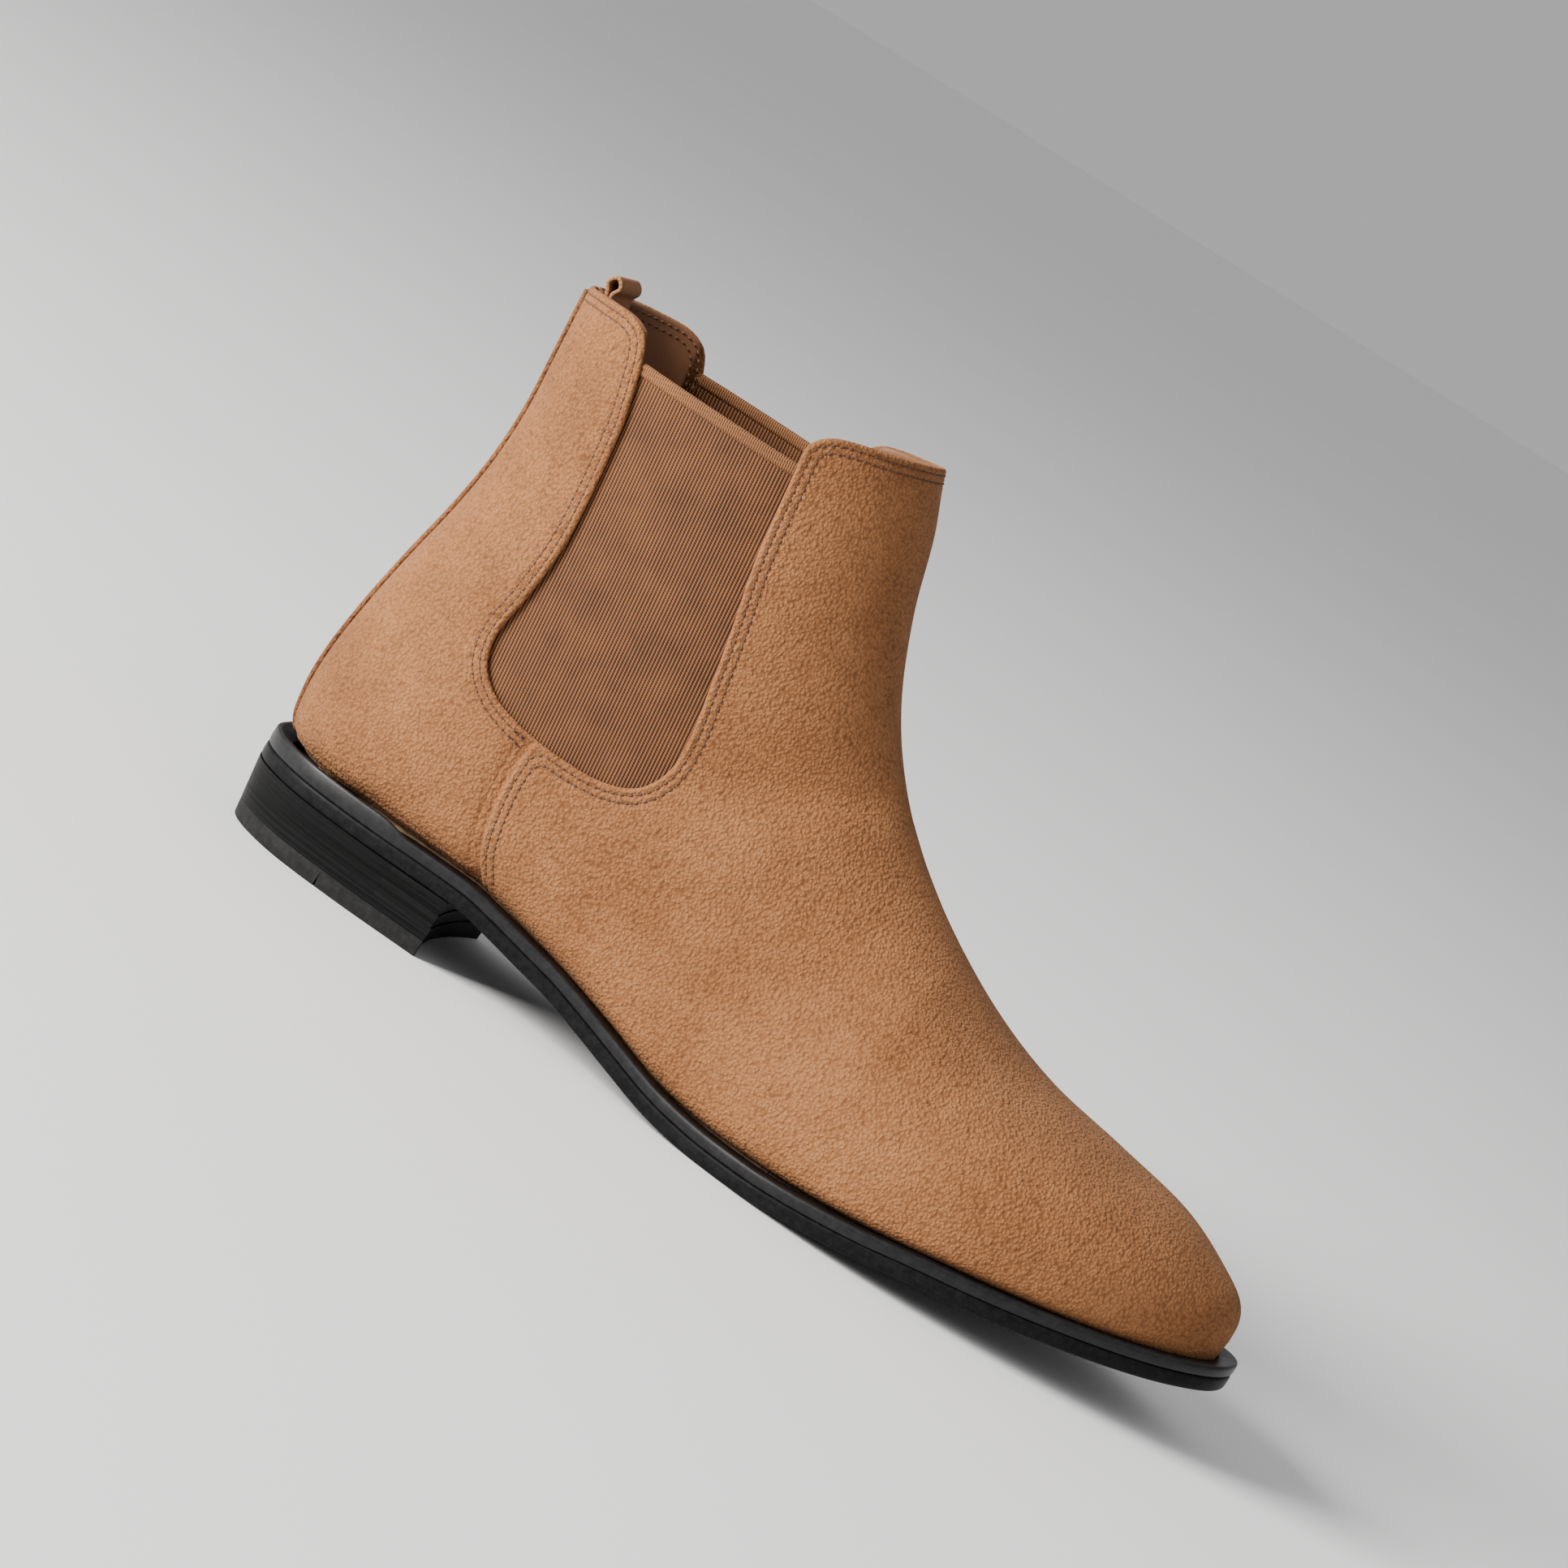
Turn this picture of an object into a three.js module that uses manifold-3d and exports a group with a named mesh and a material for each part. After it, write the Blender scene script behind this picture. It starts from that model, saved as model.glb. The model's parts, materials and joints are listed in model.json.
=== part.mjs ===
// Chelsea boot for the right foot, in millimetres: +X to the toe, +Y to the inner side, +Z up.
// The origin is on the ground, under the middle of the boot. It stands flat on heel and ball.
import * as THREE from 'three';
import { mergeVertices } from 'three/addons/utils/BufferGeometryUtils.js';
import Module from 'manifold-3d';

// Overall sizes.
const bootLength = 309;
const ballWidth = 100;
const bootHeight = 183;

// Bottom: heel block, outsole and welt.
const heelHeight = 17.4;
const toeSpring = 19;
const outsoleThickness = 4.2;
const weltThickness = 3.3;
const liftCount = 3;
const topPieceThickness = 5;
const heelDraft = 0.12;
const breastDepth = 5;
const rimRise = 1.6;
const rimEnd = -33;
const rimClearance = 0.6;
const breastAt = -26.6;
const topPieceJoin = -37.8;
const nailRadius = 1.1;
const nailHeadRadius = 2.2;
const nailHeadThickness = 1;
const heelHalfWidth = 33;

// Layers of the upper, from the outside in.
const stripThickness = 1.2;
const upperThickness = 1.7;
const stiffenerThickness = 0.8;
const liningThickness = 0.8;
const goreThickness = 1.2;
const goreUnderlap = 6;
const bindingHeight = 3.5;
const stripWidth = 13;
const stripFoot = 2.6;

// Inside of the bottom.
const lastingMargin = 15;
const featherDrop = 1.5;
const insoleThickness = 2.5;
const sockThickness = 1.5;
const shankWidth = 13;
const shankThickness = 1.2;

// Pull loop at the back.
const tabWidth = 20;
const tabThickness = 1.2;
const tabDepth = 5;
const tabRise = 5.2;
const tabAnchorDrop = 14;
const tabClearance = 1.8;

// Clearance between pieces that touch on the real boot.
const gap = 0.3;

// Where the boot bends: the ball of the foot, and the throat where the front of the shaft leans.
const flexAt = 9;
const throatPivot = [-15, 42.6];
const throatRise = 0.65;

const far = 400;
const along = (percent) => (percent * bootLength) / 100;
const rise = (percent) => (percent * bootHeight) / 100;
const across = (percent) => (percent * ballWidth) / 100;
const toPlace = ([x, z]) => new THREE.Vector2(along(x), rise(z));

const wasm = await Module();
wasm.setup();

// ---- Curves -------------------------------------------------------------------------------

// A smooth function through points, with straight runs past both ends.
function smooth(points) {
  const slope = points.map((_, i) => {
    const before = points[Math.max(i - 1, 0)];
    const after = points[Math.min(i + 1, points.length - 1)];
    return (after[1] - before[1]) / (after[0] - before[0]);
  });
  return (t) => {
    const end = points.length - 1;
    if (t <= points[0][0]) return points[0][1] + slope[0] * (t - points[0][0]);
    if (t >= points[end][0]) return points[end][1] + slope[end] * (t - points[end][0]);
    const i = points.findIndex((p) => p[0] > t) - 1;
    const span = points[i + 1][0] - points[i][0];
    const s = (t - points[i][0]) / span;
    const ease = s * s * (3 - 2 * s);
    const leave = s * (1 - s) * (1 - s) * span * slope[i];
    const arrive = s * s * (s - 1) * span * slope[i + 1];
    return points[i][1] * (1 - ease) + points[i + 1][1] * ease + leave + arrive;
  };
}

function spline(points, steps, closed = false) {
  const curve = new THREE.CatmullRomCurve3(
    points.map((p) => new THREE.Vector3(p.x, p.y, 0)), closed, 'centripetal');
  const dense = curve.getPoints(steps).map((p) => new THREE.Vector2(p.x, p.y));
  if (closed) dense.pop();
  return dense;
}

// Moves a closed outline outwards by a distance.
function grow(outline, distance) {
  const side = Math.sign(THREE.ShapeUtils.area(outline));
  return outline.map((point, i) => {
    const before = outline[(i + outline.length - 1) % outline.length];
    const after = outline[(i + 1) % outline.length];
    const run = after.clone().sub(before).normalize();
    return new THREE.Vector2(point.x + side * run.y * distance, point.y - side * run.x * distance);
  });
}

// ---- Solids -------------------------------------------------------------------------------

function solid(geometry) {
  const plain = geometry.clone();
  plain.deleteAttribute('normal');
  plain.deleteAttribute('uv');
  plain.attributes.position.array.forEach((value, i, all) => {
    all[i] = Math.round(value * 1e4) / 1e4;
  });
  const merged = mergeVertices(plain, 1e-5);
  return new wasm.Manifold(new wasm.Mesh({
    numProp: 3,
    vertProperties: new Float32Array(merged.attributes.position.array),
    triVerts: new Uint32Array(merged.index.array),
  }));
}

// A plan outline made into an upright prism.
function upright(outline, low, high) {
  const geometry = new THREE.ExtrudeGeometry(new THREE.Shape(outline),
    { depth: high - low, bevelEnabled: false });
  geometry.translate(0, 0, low);
  return solid(geometry);
}

// A side-view outline made into a prism that runs across the boot.
function crosswise(outline, low, high) {
  const geometry = new THREE.ExtrudeGeometry(new THREE.Shape(outline),
    { depth: high - low, bevelEnabled: false });
  geometry.rotateX(Math.PI / 2);
  geometry.translate(0, high, 0);
  return solid(geometry);
}

function block(low, high) {
  const size = high.map((value, i) => value - low[i]);
  const geometry = new THREE.BoxGeometry(...size);
  geometry.translate(...low.map((value, i) => value + size[i] / 2));
  return solid(geometry);
}

const rectangle = (lowX, highX, lowY, highY) => [
  new THREE.Vector2(lowX, lowY), new THREE.Vector2(highX, lowY),
  new THREE.Vector2(highX, highY), new THREE.Vector2(lowX, highY)];

const group = new THREE.Group();

function add(name, shape, color, roughness, metalness = 0) {
  const mesh = shape.getMesh();
  const geometry = new THREE.BufferGeometry();
  geometry.setAttribute('position', new THREE.BufferAttribute(mesh.vertProperties, 3));
  geometry.setIndex(new THREE.BufferAttribute(mesh.triVerts, 1));
  geometry.computeVertexNormals();
  const piece = new THREE.Mesh(geometry,
    new THREE.MeshStandardMaterial({ color, roughness, metalness }));
  piece.name = name;
  group.add(piece);
}

// ---- Profile and plan ---------------------------------------------------------------------

// Underside of the outsole: flat under the heel, arched at the waist, on the ground at the ball.
const soleUnderside = smooth([
  [-50, heelHeight], [-38, heelHeight], [-26, heelHeight], [-22.5, heelHeight * 0.91],
  [-19, heelHeight * 0.79],
  [-15, heelHeight * 0.66], [-11, heelHeight * 0.48], [-7, heelHeight * 0.29],
  [-2.5, heelHeight * 0.1], [2, 0.2], [5, 0], [10, toeSpring * 0.03], [18, toeSpring * 0.17],
  [24, toeSpring * 0.32], [31, toeSpring * 0.46], [38, toeSpring * 0.62],
  [44, toeSpring * 0.78], [50, toeSpring]]);
const underside = (x) => soleUnderside((x / bootLength) * 100);
const soleTotal = outsoleThickness + gap + weltThickness;

// Half-widths of the sole, outer side negative, as places along the boot and across it.
const solePlan = [
  [50, 1], [49.3, -9], [47.2, -17.5], [43, -27], [36.5, -37.5], [28.5, -46], [20, -50],
  [11.5, -49], [2, -43.5], [-8, -37.5], [-18, -34.2], [-28, -33.5], [-36, -32.3],
  [-43.5, -27.5], [-48, -18], [-49.7, -9], [-50, 0], [-49.7, 9], [-48, 18], [-43.5, 27],
  [-36, 31], [-28, 30], [-18, 27.5], [-9.5, 27.5], [-1, 31.5], [8.5, 40.5], [17, 47.8],
  [23.5, 50], [30, 47.5], [36.5, 40], [43, 29.5], [47.2, 19.5], [49.3, 10.5]];
const soleOutline = spline(solePlan.map(([x, y]) => new THREE.Vector2(along(x), across(y))), 54, true);

// Everything between two heights above the underside of the outsole.
function layer(low, high) {
  const steps = 32;
  const stations = Array.from({ length: steps + 1 }, (_, i) => along(-60 + (120 * i) / steps));
  const bottom = stations.map((x) => new THREE.Vector2(x, underside(x) + low));
  const top = stations.map((x) => new THREE.Vector2(x, underside(x) + high));
  return crosswise([...bottom, ...top.reverse()], -far, far);
}

// ---- Shape of the last --------------------------------------------------------------------

// Front line from the toe, over the instep, to the top of the shaft.
const toeTip = [48.3, 16.6];
const frontLine = spline([
  toeTip, [48.1, 20], [47.2, 22.4], [44.5, 25.1], [39.5, 28.6], [31.5, 31], [23.5, 33.3],
  [16, 38], [8, 45.8], [1.2, 55], [-4, 65.8], [-7.6, 78.5], [-9.8, 90], [-12, 99],
  [-13.4, 109]].map(toPlace), 240);

// Bottom line from the toe, under the boot, round the heel and up the back.
const featherLine = [47.9, 46.9, 45, 41, 35, 27, 18, 8, -2, -10, -18, -28, -38, -45]
  .map((x) => new THREE.Vector2(along(x), underside(along(x)) + soleTotal - featherDrop));
const backLine = [[-48.6, 15.7], [-49.5, 21], [-49.6, 27.5], [-49, 36], [-47.9, 46],
  [-46.6, 56], [-45.8, 65], [-45.6, 74], [-46, 84], [-46.4, 94], [-46.6, 109]].map(toPlace);
const lowLine = spline([toPlace(toeTip), ...featherLine, ...backLine], 320);

// Where a ray from a start first meets a line of the side view.
function meet(line, start, ray) {
  let best = null;
  for (let i = 0; i + 1 < line.length; i += 1) {
    const a = line[i].clone().sub(start);
    const b = line[i + 1].clone().sub(start);
    const sideA = a.cross(ray);
    const sideB = b.cross(ray);
    const crosses = sideA * sideB <= 0 && sideA !== sideB;
    const point = crosses ? a.lerp(b, sideA / (sideA - sideB)) : null;
    if (point && point.dot(ray) > 0 && (!best || point.dot(ray) < best.dot(ray))) best = point;
  }
  return best.add(start);
}

// Sections fan round from upright at the toe to level at the shaft, about a point ahead of the throat.
const fanCentre = toPlace([12, 66]);
const toeSections = 10;
const heelTurns = [1.12, 1.24, 1.35, 1.45, 1.54, 1.62, 1.67, 1.71, 1.76, 1.83, 1.91, 2];
const shaftSections = 3;
const aroundHalf = 9;

// A section's start and direction. Turn runs 0 to 1 over the foot, to 2 round the heel, to 3 up.
function sectionRay(turn) {
  const tip = toPlace(toeTip).x;
  if (turn <= 1) {
    const x = tip - (tip - fanCentre.x) * turn * turn;
    return [new THREE.Vector2(x, far), new THREE.Vector2(0, -1)];
  }
  if (turn <= 2) {
    const angle = ((turn - 1) * Math.PI) / 2;
    return [fanCentre, new THREE.Vector2(-Math.sin(angle), -Math.cos(angle))];
  }
  const z = fanCentre.y + (rise(108) - fanCentre.y) * (turn - 2);
  return [new THREE.Vector2(far, z), new THREE.Vector2(-1, 0)];
}

// Half-widths in percent of the ball's width, where a section is widest and how square it is.
const outerWidth = smooth([[0, 0], [0.09, 5.6], [0.19, 11.4], [0.28, 17], [0.38, 23],
  [0.47, 28.8], [0.56, 34.6], [0.66, 40], [0.75, 44.2], [0.85, 46.8], [0.94, 46.6], [1, 45],
  [1.11, 42.2], [1.22, 39.2], [1.33, 36.4], [1.44, 34.8], [1.56, 34.2], [1.67, 34.2], [1.78, 34.4],
  [2, 35], [2.4, 36], [3, 36.4]]);
const innerWidth = smooth([[0, 0], [0.09, 6.2], [0.19, 12.4], [0.28, 18.6], [0.38, 25],
  [0.47, 31], [0.56, 36.8], [0.66, 42], [0.75, 45.6], [0.85, 46.4], [0.94, 43.4], [1, 39.8],
  [1.11, 37], [1.22, 34], [1.33, 32], [1.44, 31.4], [1.56, 31.8], [1.67, 32.4], [1.78, 33.6],
  [2, 34.6], [2.4, 36], [3, 36.4]]);
const widestAt = smooth([[0, 0.5], [0.3, 0.62], [0.8, 0.72], [1.1, 0.75], [1.25, 0.7],
  [1.45, 0.58], [1.6, 0.5], [3, 0.5]]);
const frontPower = smooth([[0, 2.1], [0.6, 2.05], [1, 1.9], [1.3, 1.85], [2, 2], [3, 2.1]]);
const lowPower = smooth([[0, 2.4], [0.12, 4], [0.3, 6], [1, 7], [1.4, 7], [1.6, 5], [1.66, 3.4],
  [1.74, 2.5], [1.85, 2.3], [3, 2.2]]);

// A point of the last's surface. Angle is 0 on the front line, half a turn on the bottom line,
// and its sign picks the side of the boot.
function lastPoint(turn, angle) {
  const [start, ray] = sectionRay(turn);
  const front = meet(frontLine, start, ray);
  const low = meet(lowLine, start, ray);
  const size = Math.abs(angle);
  const upper = size < Math.PI / 2;
  const power = upper ? frontPower(turn) : lowPower(turn);
  const widest = widestAt(turn);
  const reach = Math.abs(Math.cos(size)) ** (2 / power);
  const share = upper ? widest - widest * reach : widest + (1 - widest) * reach;
  const width = angle < 0 ? -across(outerWidth(turn)) : across(innerWidth(turn));
  const place = front.lerp(low, share);
  return new THREE.Vector3(place.x, width * Math.max(Math.sin(size), 0) ** (2 / power), place.y);
}

const turns = [
  ...Array.from({ length: toeSections }, (_, i) => (i + 0.5) / (toeSections - 0.5)),
  ...heelTurns,
  ...Array.from({ length: shaftSections }, (_, i) => 2 + (i + 1) / shaftSections)];
const angles = Array.from({ length: 2 * aroundHalf }, (_, j) => (Math.PI * (j - aroundHalf)) / aroundHalf);

// Brings an angle back to between minus and plus half a turn.
function wrap(angle) {
  if (angle > Math.PI) return angle - 2 * Math.PI;
  return angle < -Math.PI ? angle + 2 * Math.PI : angle;
}

// The last's surface normal, by small steps along both directions.
const turnStep = 0.02;
const angleStep = 0.12;
function lastNormal(turn, angle) {
  const alongTurn = lastPoint(Math.min(turn + turnStep, 3), angle)
    .sub(lastPoint(Math.max(turn - turnStep, turnStep), angle));
  const roundAngle = lastPoint(turn, wrap(angle + angleStep))
    .sub(lastPoint(turn, wrap(angle - angleStep)));
  return roundAngle.cross(alongTurn).normalize();
}

// The closed solid of the last, with its surface a distance inside or, if negative, outside.
function last(depth) {
  const points = [];
  for (const turn of turns) {
    for (const angle of angles) {
      points.push(lastPoint(turn, angle).addScaledVector(lastNormal(turn, angle), -depth));
    }
  }
  const count = angles.length;
  const tip = points.push(new THREE.Vector3(toPlace(toeTip).x - depth, 0, toPlace(toeTip).y)) - 1;
  const topRing = points.slice((turns.length - 1) * count, turns.length * count);
  const top = points.push(topRing.reduce((sum, p) => sum.add(p), new THREE.Vector3())
    .divideScalar(count)) - 1;
  const faces = [];
  for (let j = 0; j < count; j += 1) {
    const next = (j + 1) % count;
    faces.push(tip, next, j);
    for (let i = 0; i + 1 < turns.length; i += 1) {
      const near = i * count;
      const away = near + count;
      faces.push(near + j, near + next, away + j, near + next, away + next, away + j);
    }
    const end = (turns.length - 1) * count;
    faces.push(end + j, end + next, top);
  }
  const geometry = new THREE.BufferGeometry().setFromPoints(points);
  geometry.setIndex(faces);
  return solid(geometry);
}

// The wall between two depths of the last, open where the foot goes in.
const shells = new Map();
function depthOf(depth) {
  if (!shells.has(depth)) shells.set(depth, last(depth));
  return shells.get(depth);
}
const wall = (from, to) => depthOf(from).subtract(depthOf(to));

// ---- Pattern of the upper, in side view ---------------------------------------------------

// The gore's opening: down the quarter's edge, round the foot of the gore, up the front's edge.
const goreEdge = spline([
  [-37.2, 120], [-36, 90], [-35.2, 79], [-34.6, 70], [-34.3, 61], [-34.7, 53], [-35.3, 45.5],
  [-34.6, 41.5], [-32.6, 38.6], [-29.2, 36.9], [-24.8, 36.3], [-20.6, 36.8], [-17.8, 38.9],
  [-16.4, 42.9], [-16.3, 48.3], [-17.1, 56.4], [-18.1, 65], [-19.5, 75.5], [-20.7, 90],
  [-23.4, 120]].map(toPlace), 48);
const goreMiddle = along(-27.8);
const goreGap = (clear) => crosswise(grow(goreEdge, clear), -far, far);
const between = (low, high) => block([-far, -far, low], [far, far, high]);

// The topline: the back quarters and the front each have a rounded corner above the gore.
const topline = [
  ...spline([[-56, 94.2], [-47, 94], [-43, 94.6], [-39.4, 94.6], [-37.8, 93.4], [-36.8, 90.4],
    [-36.1, 84]].map(toPlace), 22),
  ...spline([[-20.4, 84], [-21, 90.5], [-20.7, 93.6], [-19.6, 95.4], [-17.6, 96.6],
    [-14.5, 98], [-9, 100.4], [0, 104]].map(toPlace), 24)];
const underTopline = crosswise([...topline, new THREE.Vector2(far, rise(60)),
  new THREE.Vector2(far, -far), new THREE.Vector2(-far, -far), new THREE.Vector2(-far, rise(94))],
-far, far);

// The side seam, from the foot of the gore down to the sole.
const seam = spline([[-27.4, 36.5], [-27.7, 30.5], [-27.4, 24.5], [-26.6, 18.4], [-25.2, 13.5],
  [-24, 5]].map(toPlace), 12);

function behindSeam(clear) {
  const shift = new THREE.Vector2(-clear, 0);
  const line = [new THREE.Vector2(goreMiddle, far), new THREE.Vector2(goreMiddle, rise(40)),
    ...seam, new THREE.Vector2(seam[seam.length - 1].x, -far)].map((p) => p.clone().add(shift));
  return crosswise([...line, new THREE.Vector2(-far, -far), new THREE.Vector2(-far, far)], -far, far);
}
const rear = behindSeam(gap / 2);
const front = block([-far, -far, -far], [far, far, far]).subtract(behindSeam(-gap / 2));

// The front bends at the ball and at the throat, where it is cut square to the last.
const ballX = along(flexAt);
const toeHalf = block([ballX + gap / 2, -far, -far], [far, far, far]);
const heelHalf = block([-far, -far, -far], [ballX - gap / 2, far, far]);
const throatAxis = toPlace(throatPivot);
function aboveThroat(clear) {
  const start = throatAxis.y + clear;
  return crosswise([new THREE.Vector2(-far, start), new THREE.Vector2(throatAxis.x, start),
    new THREE.Vector2(far, start + throatRise * (far - throatAxis.x)),
    new THREE.Vector2(far, far * 2), new THREE.Vector2(-far, far * 2)], -far, far);
}
const shaftFront = aboveThroat(gap / 2);
const belowThroat = block([-far, -far, -far], [far, far, far]).subtract(aboveThroat(-gap / 2));
const outerSide = block([-far, -far, -far], [far, -gap / 2, far]);
const innerSide = block([-far, gap / 2, -far], [far, far, far]);

// ---- Upper --------------------------------------------------------------------------------

const suede = 0xbf8656;
const goreBrown = 0x8d5c38;
const liningTan = 0xa9764c;
const black = 0x1f1f20;
const insetOutline = (clear) => grow(soleOutline, -clear);

const insoleTop = soleTotal - featherDrop + upperThickness + gap + insoleThickness;
const aboveInsole = layer(insoleTop + gap, far);
const marginHole = upright(insetOutline(lastingMargin), -far, heelHeight + insoleTop);

const upper = wall(0, upperThickness).intersect(underTopline).subtract(goreGap(0))
  .subtract(marginHole);
const quarters = upper.intersect(rear);
add('quarter_outer', quarters.intersect(outerSide), suede, 0.95);
add('quarter_inner', quarters.intersect(innerSide), suede, 0.95);
const vamp = upper.intersect(front);
add('vamp_toe', vamp.intersect(toeHalf), suede, 0.95);
add('vamp_instep', vamp.intersect(heelHalf).intersect(belowThroat), suede, 0.95);
add('vamp_shaft_front', vamp.intersect(heelHalf).intersect(shaftFront), suede, 0.95);

const stripOutline = rectangle(-far, along(-38), heelHeight + soleTotal + stripFoot, rise(93));
const strip = wall(-gap - stripThickness, -gap)
  .intersect(crosswise(stripOutline, -stripWidth / 2, stripWidth / 2));
add('back_strip', strip, suede, 0.95);

// The stiffeners and the lining lie inside the suede, and the gore is sewn between the two.
const inner = upperThickness + gap;
const stiffened = inner + stiffenerThickness + gap;
const lined = stiffened + liningThickness;
const counterLine = spline([[-60, 46], [-45, 44], [-36, 32], [-31, 20], [-29.5, 0]].map(toPlace), 14);
const counterOutline = [...counterLine, new THREE.Vector2(-far, 0), new THREE.Vector2(-far, rise(46))];
const puffLine = spline([[33, -10], [33.4, 14], [34.6, 24], [37.5, 36]].map(toPlace), 8);
const puffOutline = [...puffLine, new THREE.Vector2(far, rise(36)), new THREE.Vector2(far, -rise(10))];
const stiffener = (outline) => wall(inner, inner + stiffenerThickness)
  .intersect(crosswise(outline, -far, far)).intersect(aboveInsole);
add('heel_counter', stiffener(counterOutline), 0xd8cbb0, 0.8);
add('toe_puff', stiffener(puffOutline), 0xd8cbb0, 0.8);

const stiffenerRoom = (outline) => wall(inner - gap, stiffened)
  .intersect(crosswise(grow(outline, gap * 2), -far, far));
const lining = wall(inner, lined).intersect(underTopline).intersect(aboveInsole)
  .subtract(goreGap(goreUnderlap + gap)).subtract(stiffenerRoom(counterOutline))
  .subtract(stiffenerRoom(puffOutline));
add('lining_quarters', lining.intersect(rear), liningTan, 0.7);
const frontLining = lining.intersect(front);
add('lining_toe', frontLining.intersect(toeHalf), liningTan, 0.7);
add('lining_instep', frontLining.intersect(heelHalf).intersect(belowThroat), liningTan, 0.7);
add('lining_shaft_front', frontLining.intersect(heelHalf).intersect(shaftFront), liningTan, 0.7);

const goreTop = rise(90);
const bindingLow = goreTop - bindingHeight;
const goreShape = wall(inner, inner + goreThickness).intersect(goreGap(goreUnderlap))
  .intersect(between(0, bindingLow - gap));
const bindingShape = wall(inner - upperThickness / 2, lined).intersect(goreGap(-gap))
  .intersect(between(bindingLow, goreTop));
for (const [side, half] of [['outer', outerSide], ['inner', innerSide]]) {
  add(`gore_${side}`, goreShape.intersect(half), goreBrown, 0.9);
  add(`gore_binding_${side}`, bindingShape.intersect(half), goreBrown, 0.85);
}

// ---- Bottom -------------------------------------------------------------------------------

const halves = [['rear', heelHalf], ['front', toeHalf]];
const nailSpots = [[-46, 0], [-41, 19], [-41, -19], [-33, 22], [-33, -22]]
  .map(([x, y]) => [along(x), across(y)]);

function nailHoles(low, high, radius) {
  return nailSpots.map(([x, y]) => {
    const pin = new THREE.CylinderGeometry(radius, radius, high - low, 8);
    pin.rotateX(Math.PI / 2);
    pin.translate(x, y, (low + high) / 2);
    return solid(pin);
  });
}
const withHoles = (shape, low, high, radius) => nailHoles(low, high, radius)
  .reduce((whole, pin) => whole.subtract(pin), shape);

const footprint = upright(soleOutline, -far, far);
const outsoleTop = heelHeight + outsoleThickness;
const outsole = withHoles(withHoles(footprint.intersect(layer(0, outsoleThickness)),
  0, far, nailRadius + gap), outsoleTop - nailHeadThickness - gap, far, nailHeadRadius + gap);
const fillRoom = upright(insetOutline(lastingMargin + gap), -far, far);
const welt = footprint.intersect(layer(outsoleThickness + gap, soleTotal))
  .add(footprint.intersect(layer(soleTotal - gap, soleTotal + rimRise))
    .intersect(block([-far, -far, 0], [along(rimEnd), far, far])))
  .subtract(depthOf(-rimClearance))
  .subtract(upright(insetOutline(lastingMargin), -far, far));
const fillLow = outsoleThickness + gap;
const fillTop = soleTotal - featherDrop + upperThickness;
const shankPlan = rectangle(along(-38), along(-5), -shankWidth / 2, shankWidth / 2);
const shankLow = fillTop - 3 * gap - shankThickness;
const fill = fillRoom.intersect(layer(fillLow, fillTop))
  .subtract(depthOf(upperThickness - gap))
  .subtract(upright(grow(shankPlan, gap), -far, far).intersect(layer(shankLow - gap, far)));
const board = depthOf(inner).subtract(layer(insoleTop, far));
const sock = depthOf(lined + gap).intersect(depthOf(lined))
  .intersect(layer(insoleTop + gap, insoleTop + gap + sockThickness));

const bottomLayers = [
  ['outsole', outsole, black, 0.45], ['welt', welt, black, 0.4],
  ['cork_filler', fill, 0xa67c52, 0.9], ['insole_board', board, 0xc9b48c, 0.85],
  ['sock_liner', sock, 0xa9764c, 0.7]];
for (const [name, shape, color, roughness] of bottomLayers) {
  for (const [end, half] of halves) add(`${name}_${end}`, shape.intersect(half), color, roughness);
}
add('shank', upright(shankPlan, -far, far).intersect(layer(shankLow, shankLow + shankThickness))
  .subtract(depthOf(upperThickness)), 0x8a8f94, 0.35, 1);

// ---- Heel ---------------------------------------------------------------------------------

// The block under the heel narrows towards the ground, and its front face is hollowed.
function heelBlock() {
  const breast = along(breastAt);
  const seat = footprint.intersect(block([-far, -far, 0], [breast, far, heelHeight - gap])).getMesh();
  const corners = seat.vertProperties;
  for (let i = 0; i < corners.length; i += 3) {
    const draft = heelDraft * (heelHeight - corners[i + 2]);
    corners[i] = breast + (corners[i] - breast) * (1 - draft / (breast + bootLength / 2));
    corners[i + 1] *= 1 - draft / across(heelHalfWidth);
  }
  const geometry = new THREE.BufferGeometry();
  geometry.setAttribute('position', new THREE.BufferAttribute(corners, 3));
  geometry.setIndex(new THREE.BufferAttribute(seat.triVerts, 1));
  const radius = (across(heelHalfWidth) ** 2 + breastDepth ** 2) / (2 * breastDepth);
  const hollow = new THREE.CylinderGeometry(radius, radius, heelHeight * 3, 72);
  hollow.rotateX(Math.PI / 2);
  hollow.translate(breast + radius - breastDepth, 0, 0);
  return solid(geometry).subtract(solid(hollow));
}
const heel = heelBlock();

const liftRoom = heelHeight - topPieceThickness - gap;
const liftPitch = liftRoom / liftCount;
for (let i = 0; i < liftCount; i += 1) {
  const low = topPieceThickness + gap + i * liftPitch;
  const lift = heel.intersect(between(low, low + liftPitch - gap));
  add(`heel_lift_${i + 1}`, withHoles(lift, 0, far, nailRadius + gap), black, 0.45);
}
const topPiece = heel.intersect(between(0, topPieceThickness));
const topJoin = along(topPieceJoin);
add('top_piece_rear', topPiece.intersect(block([-far, -far, 0], [topJoin, far, far])), 0x2b2b2c, 0.7);
add('top_piece_front', topPiece.intersect(block([topJoin + gap, -far, 0], [far, far, far])),
  0x242425, 0.7);

const shafts = nailHoles(topPieceThickness + gap, outsoleTop, nailRadius);
const heads = nailHoles(outsoleTop - nailHeadThickness, outsoleTop, nailHeadRadius);
shafts.forEach((pin, i) => add(`heel_nail_${i + 1}`, pin.add(heads[i]), 0x9a9ea2, 0.35, 1));

// ---- Pull loop ----------------------------------------------------------------------------

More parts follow.
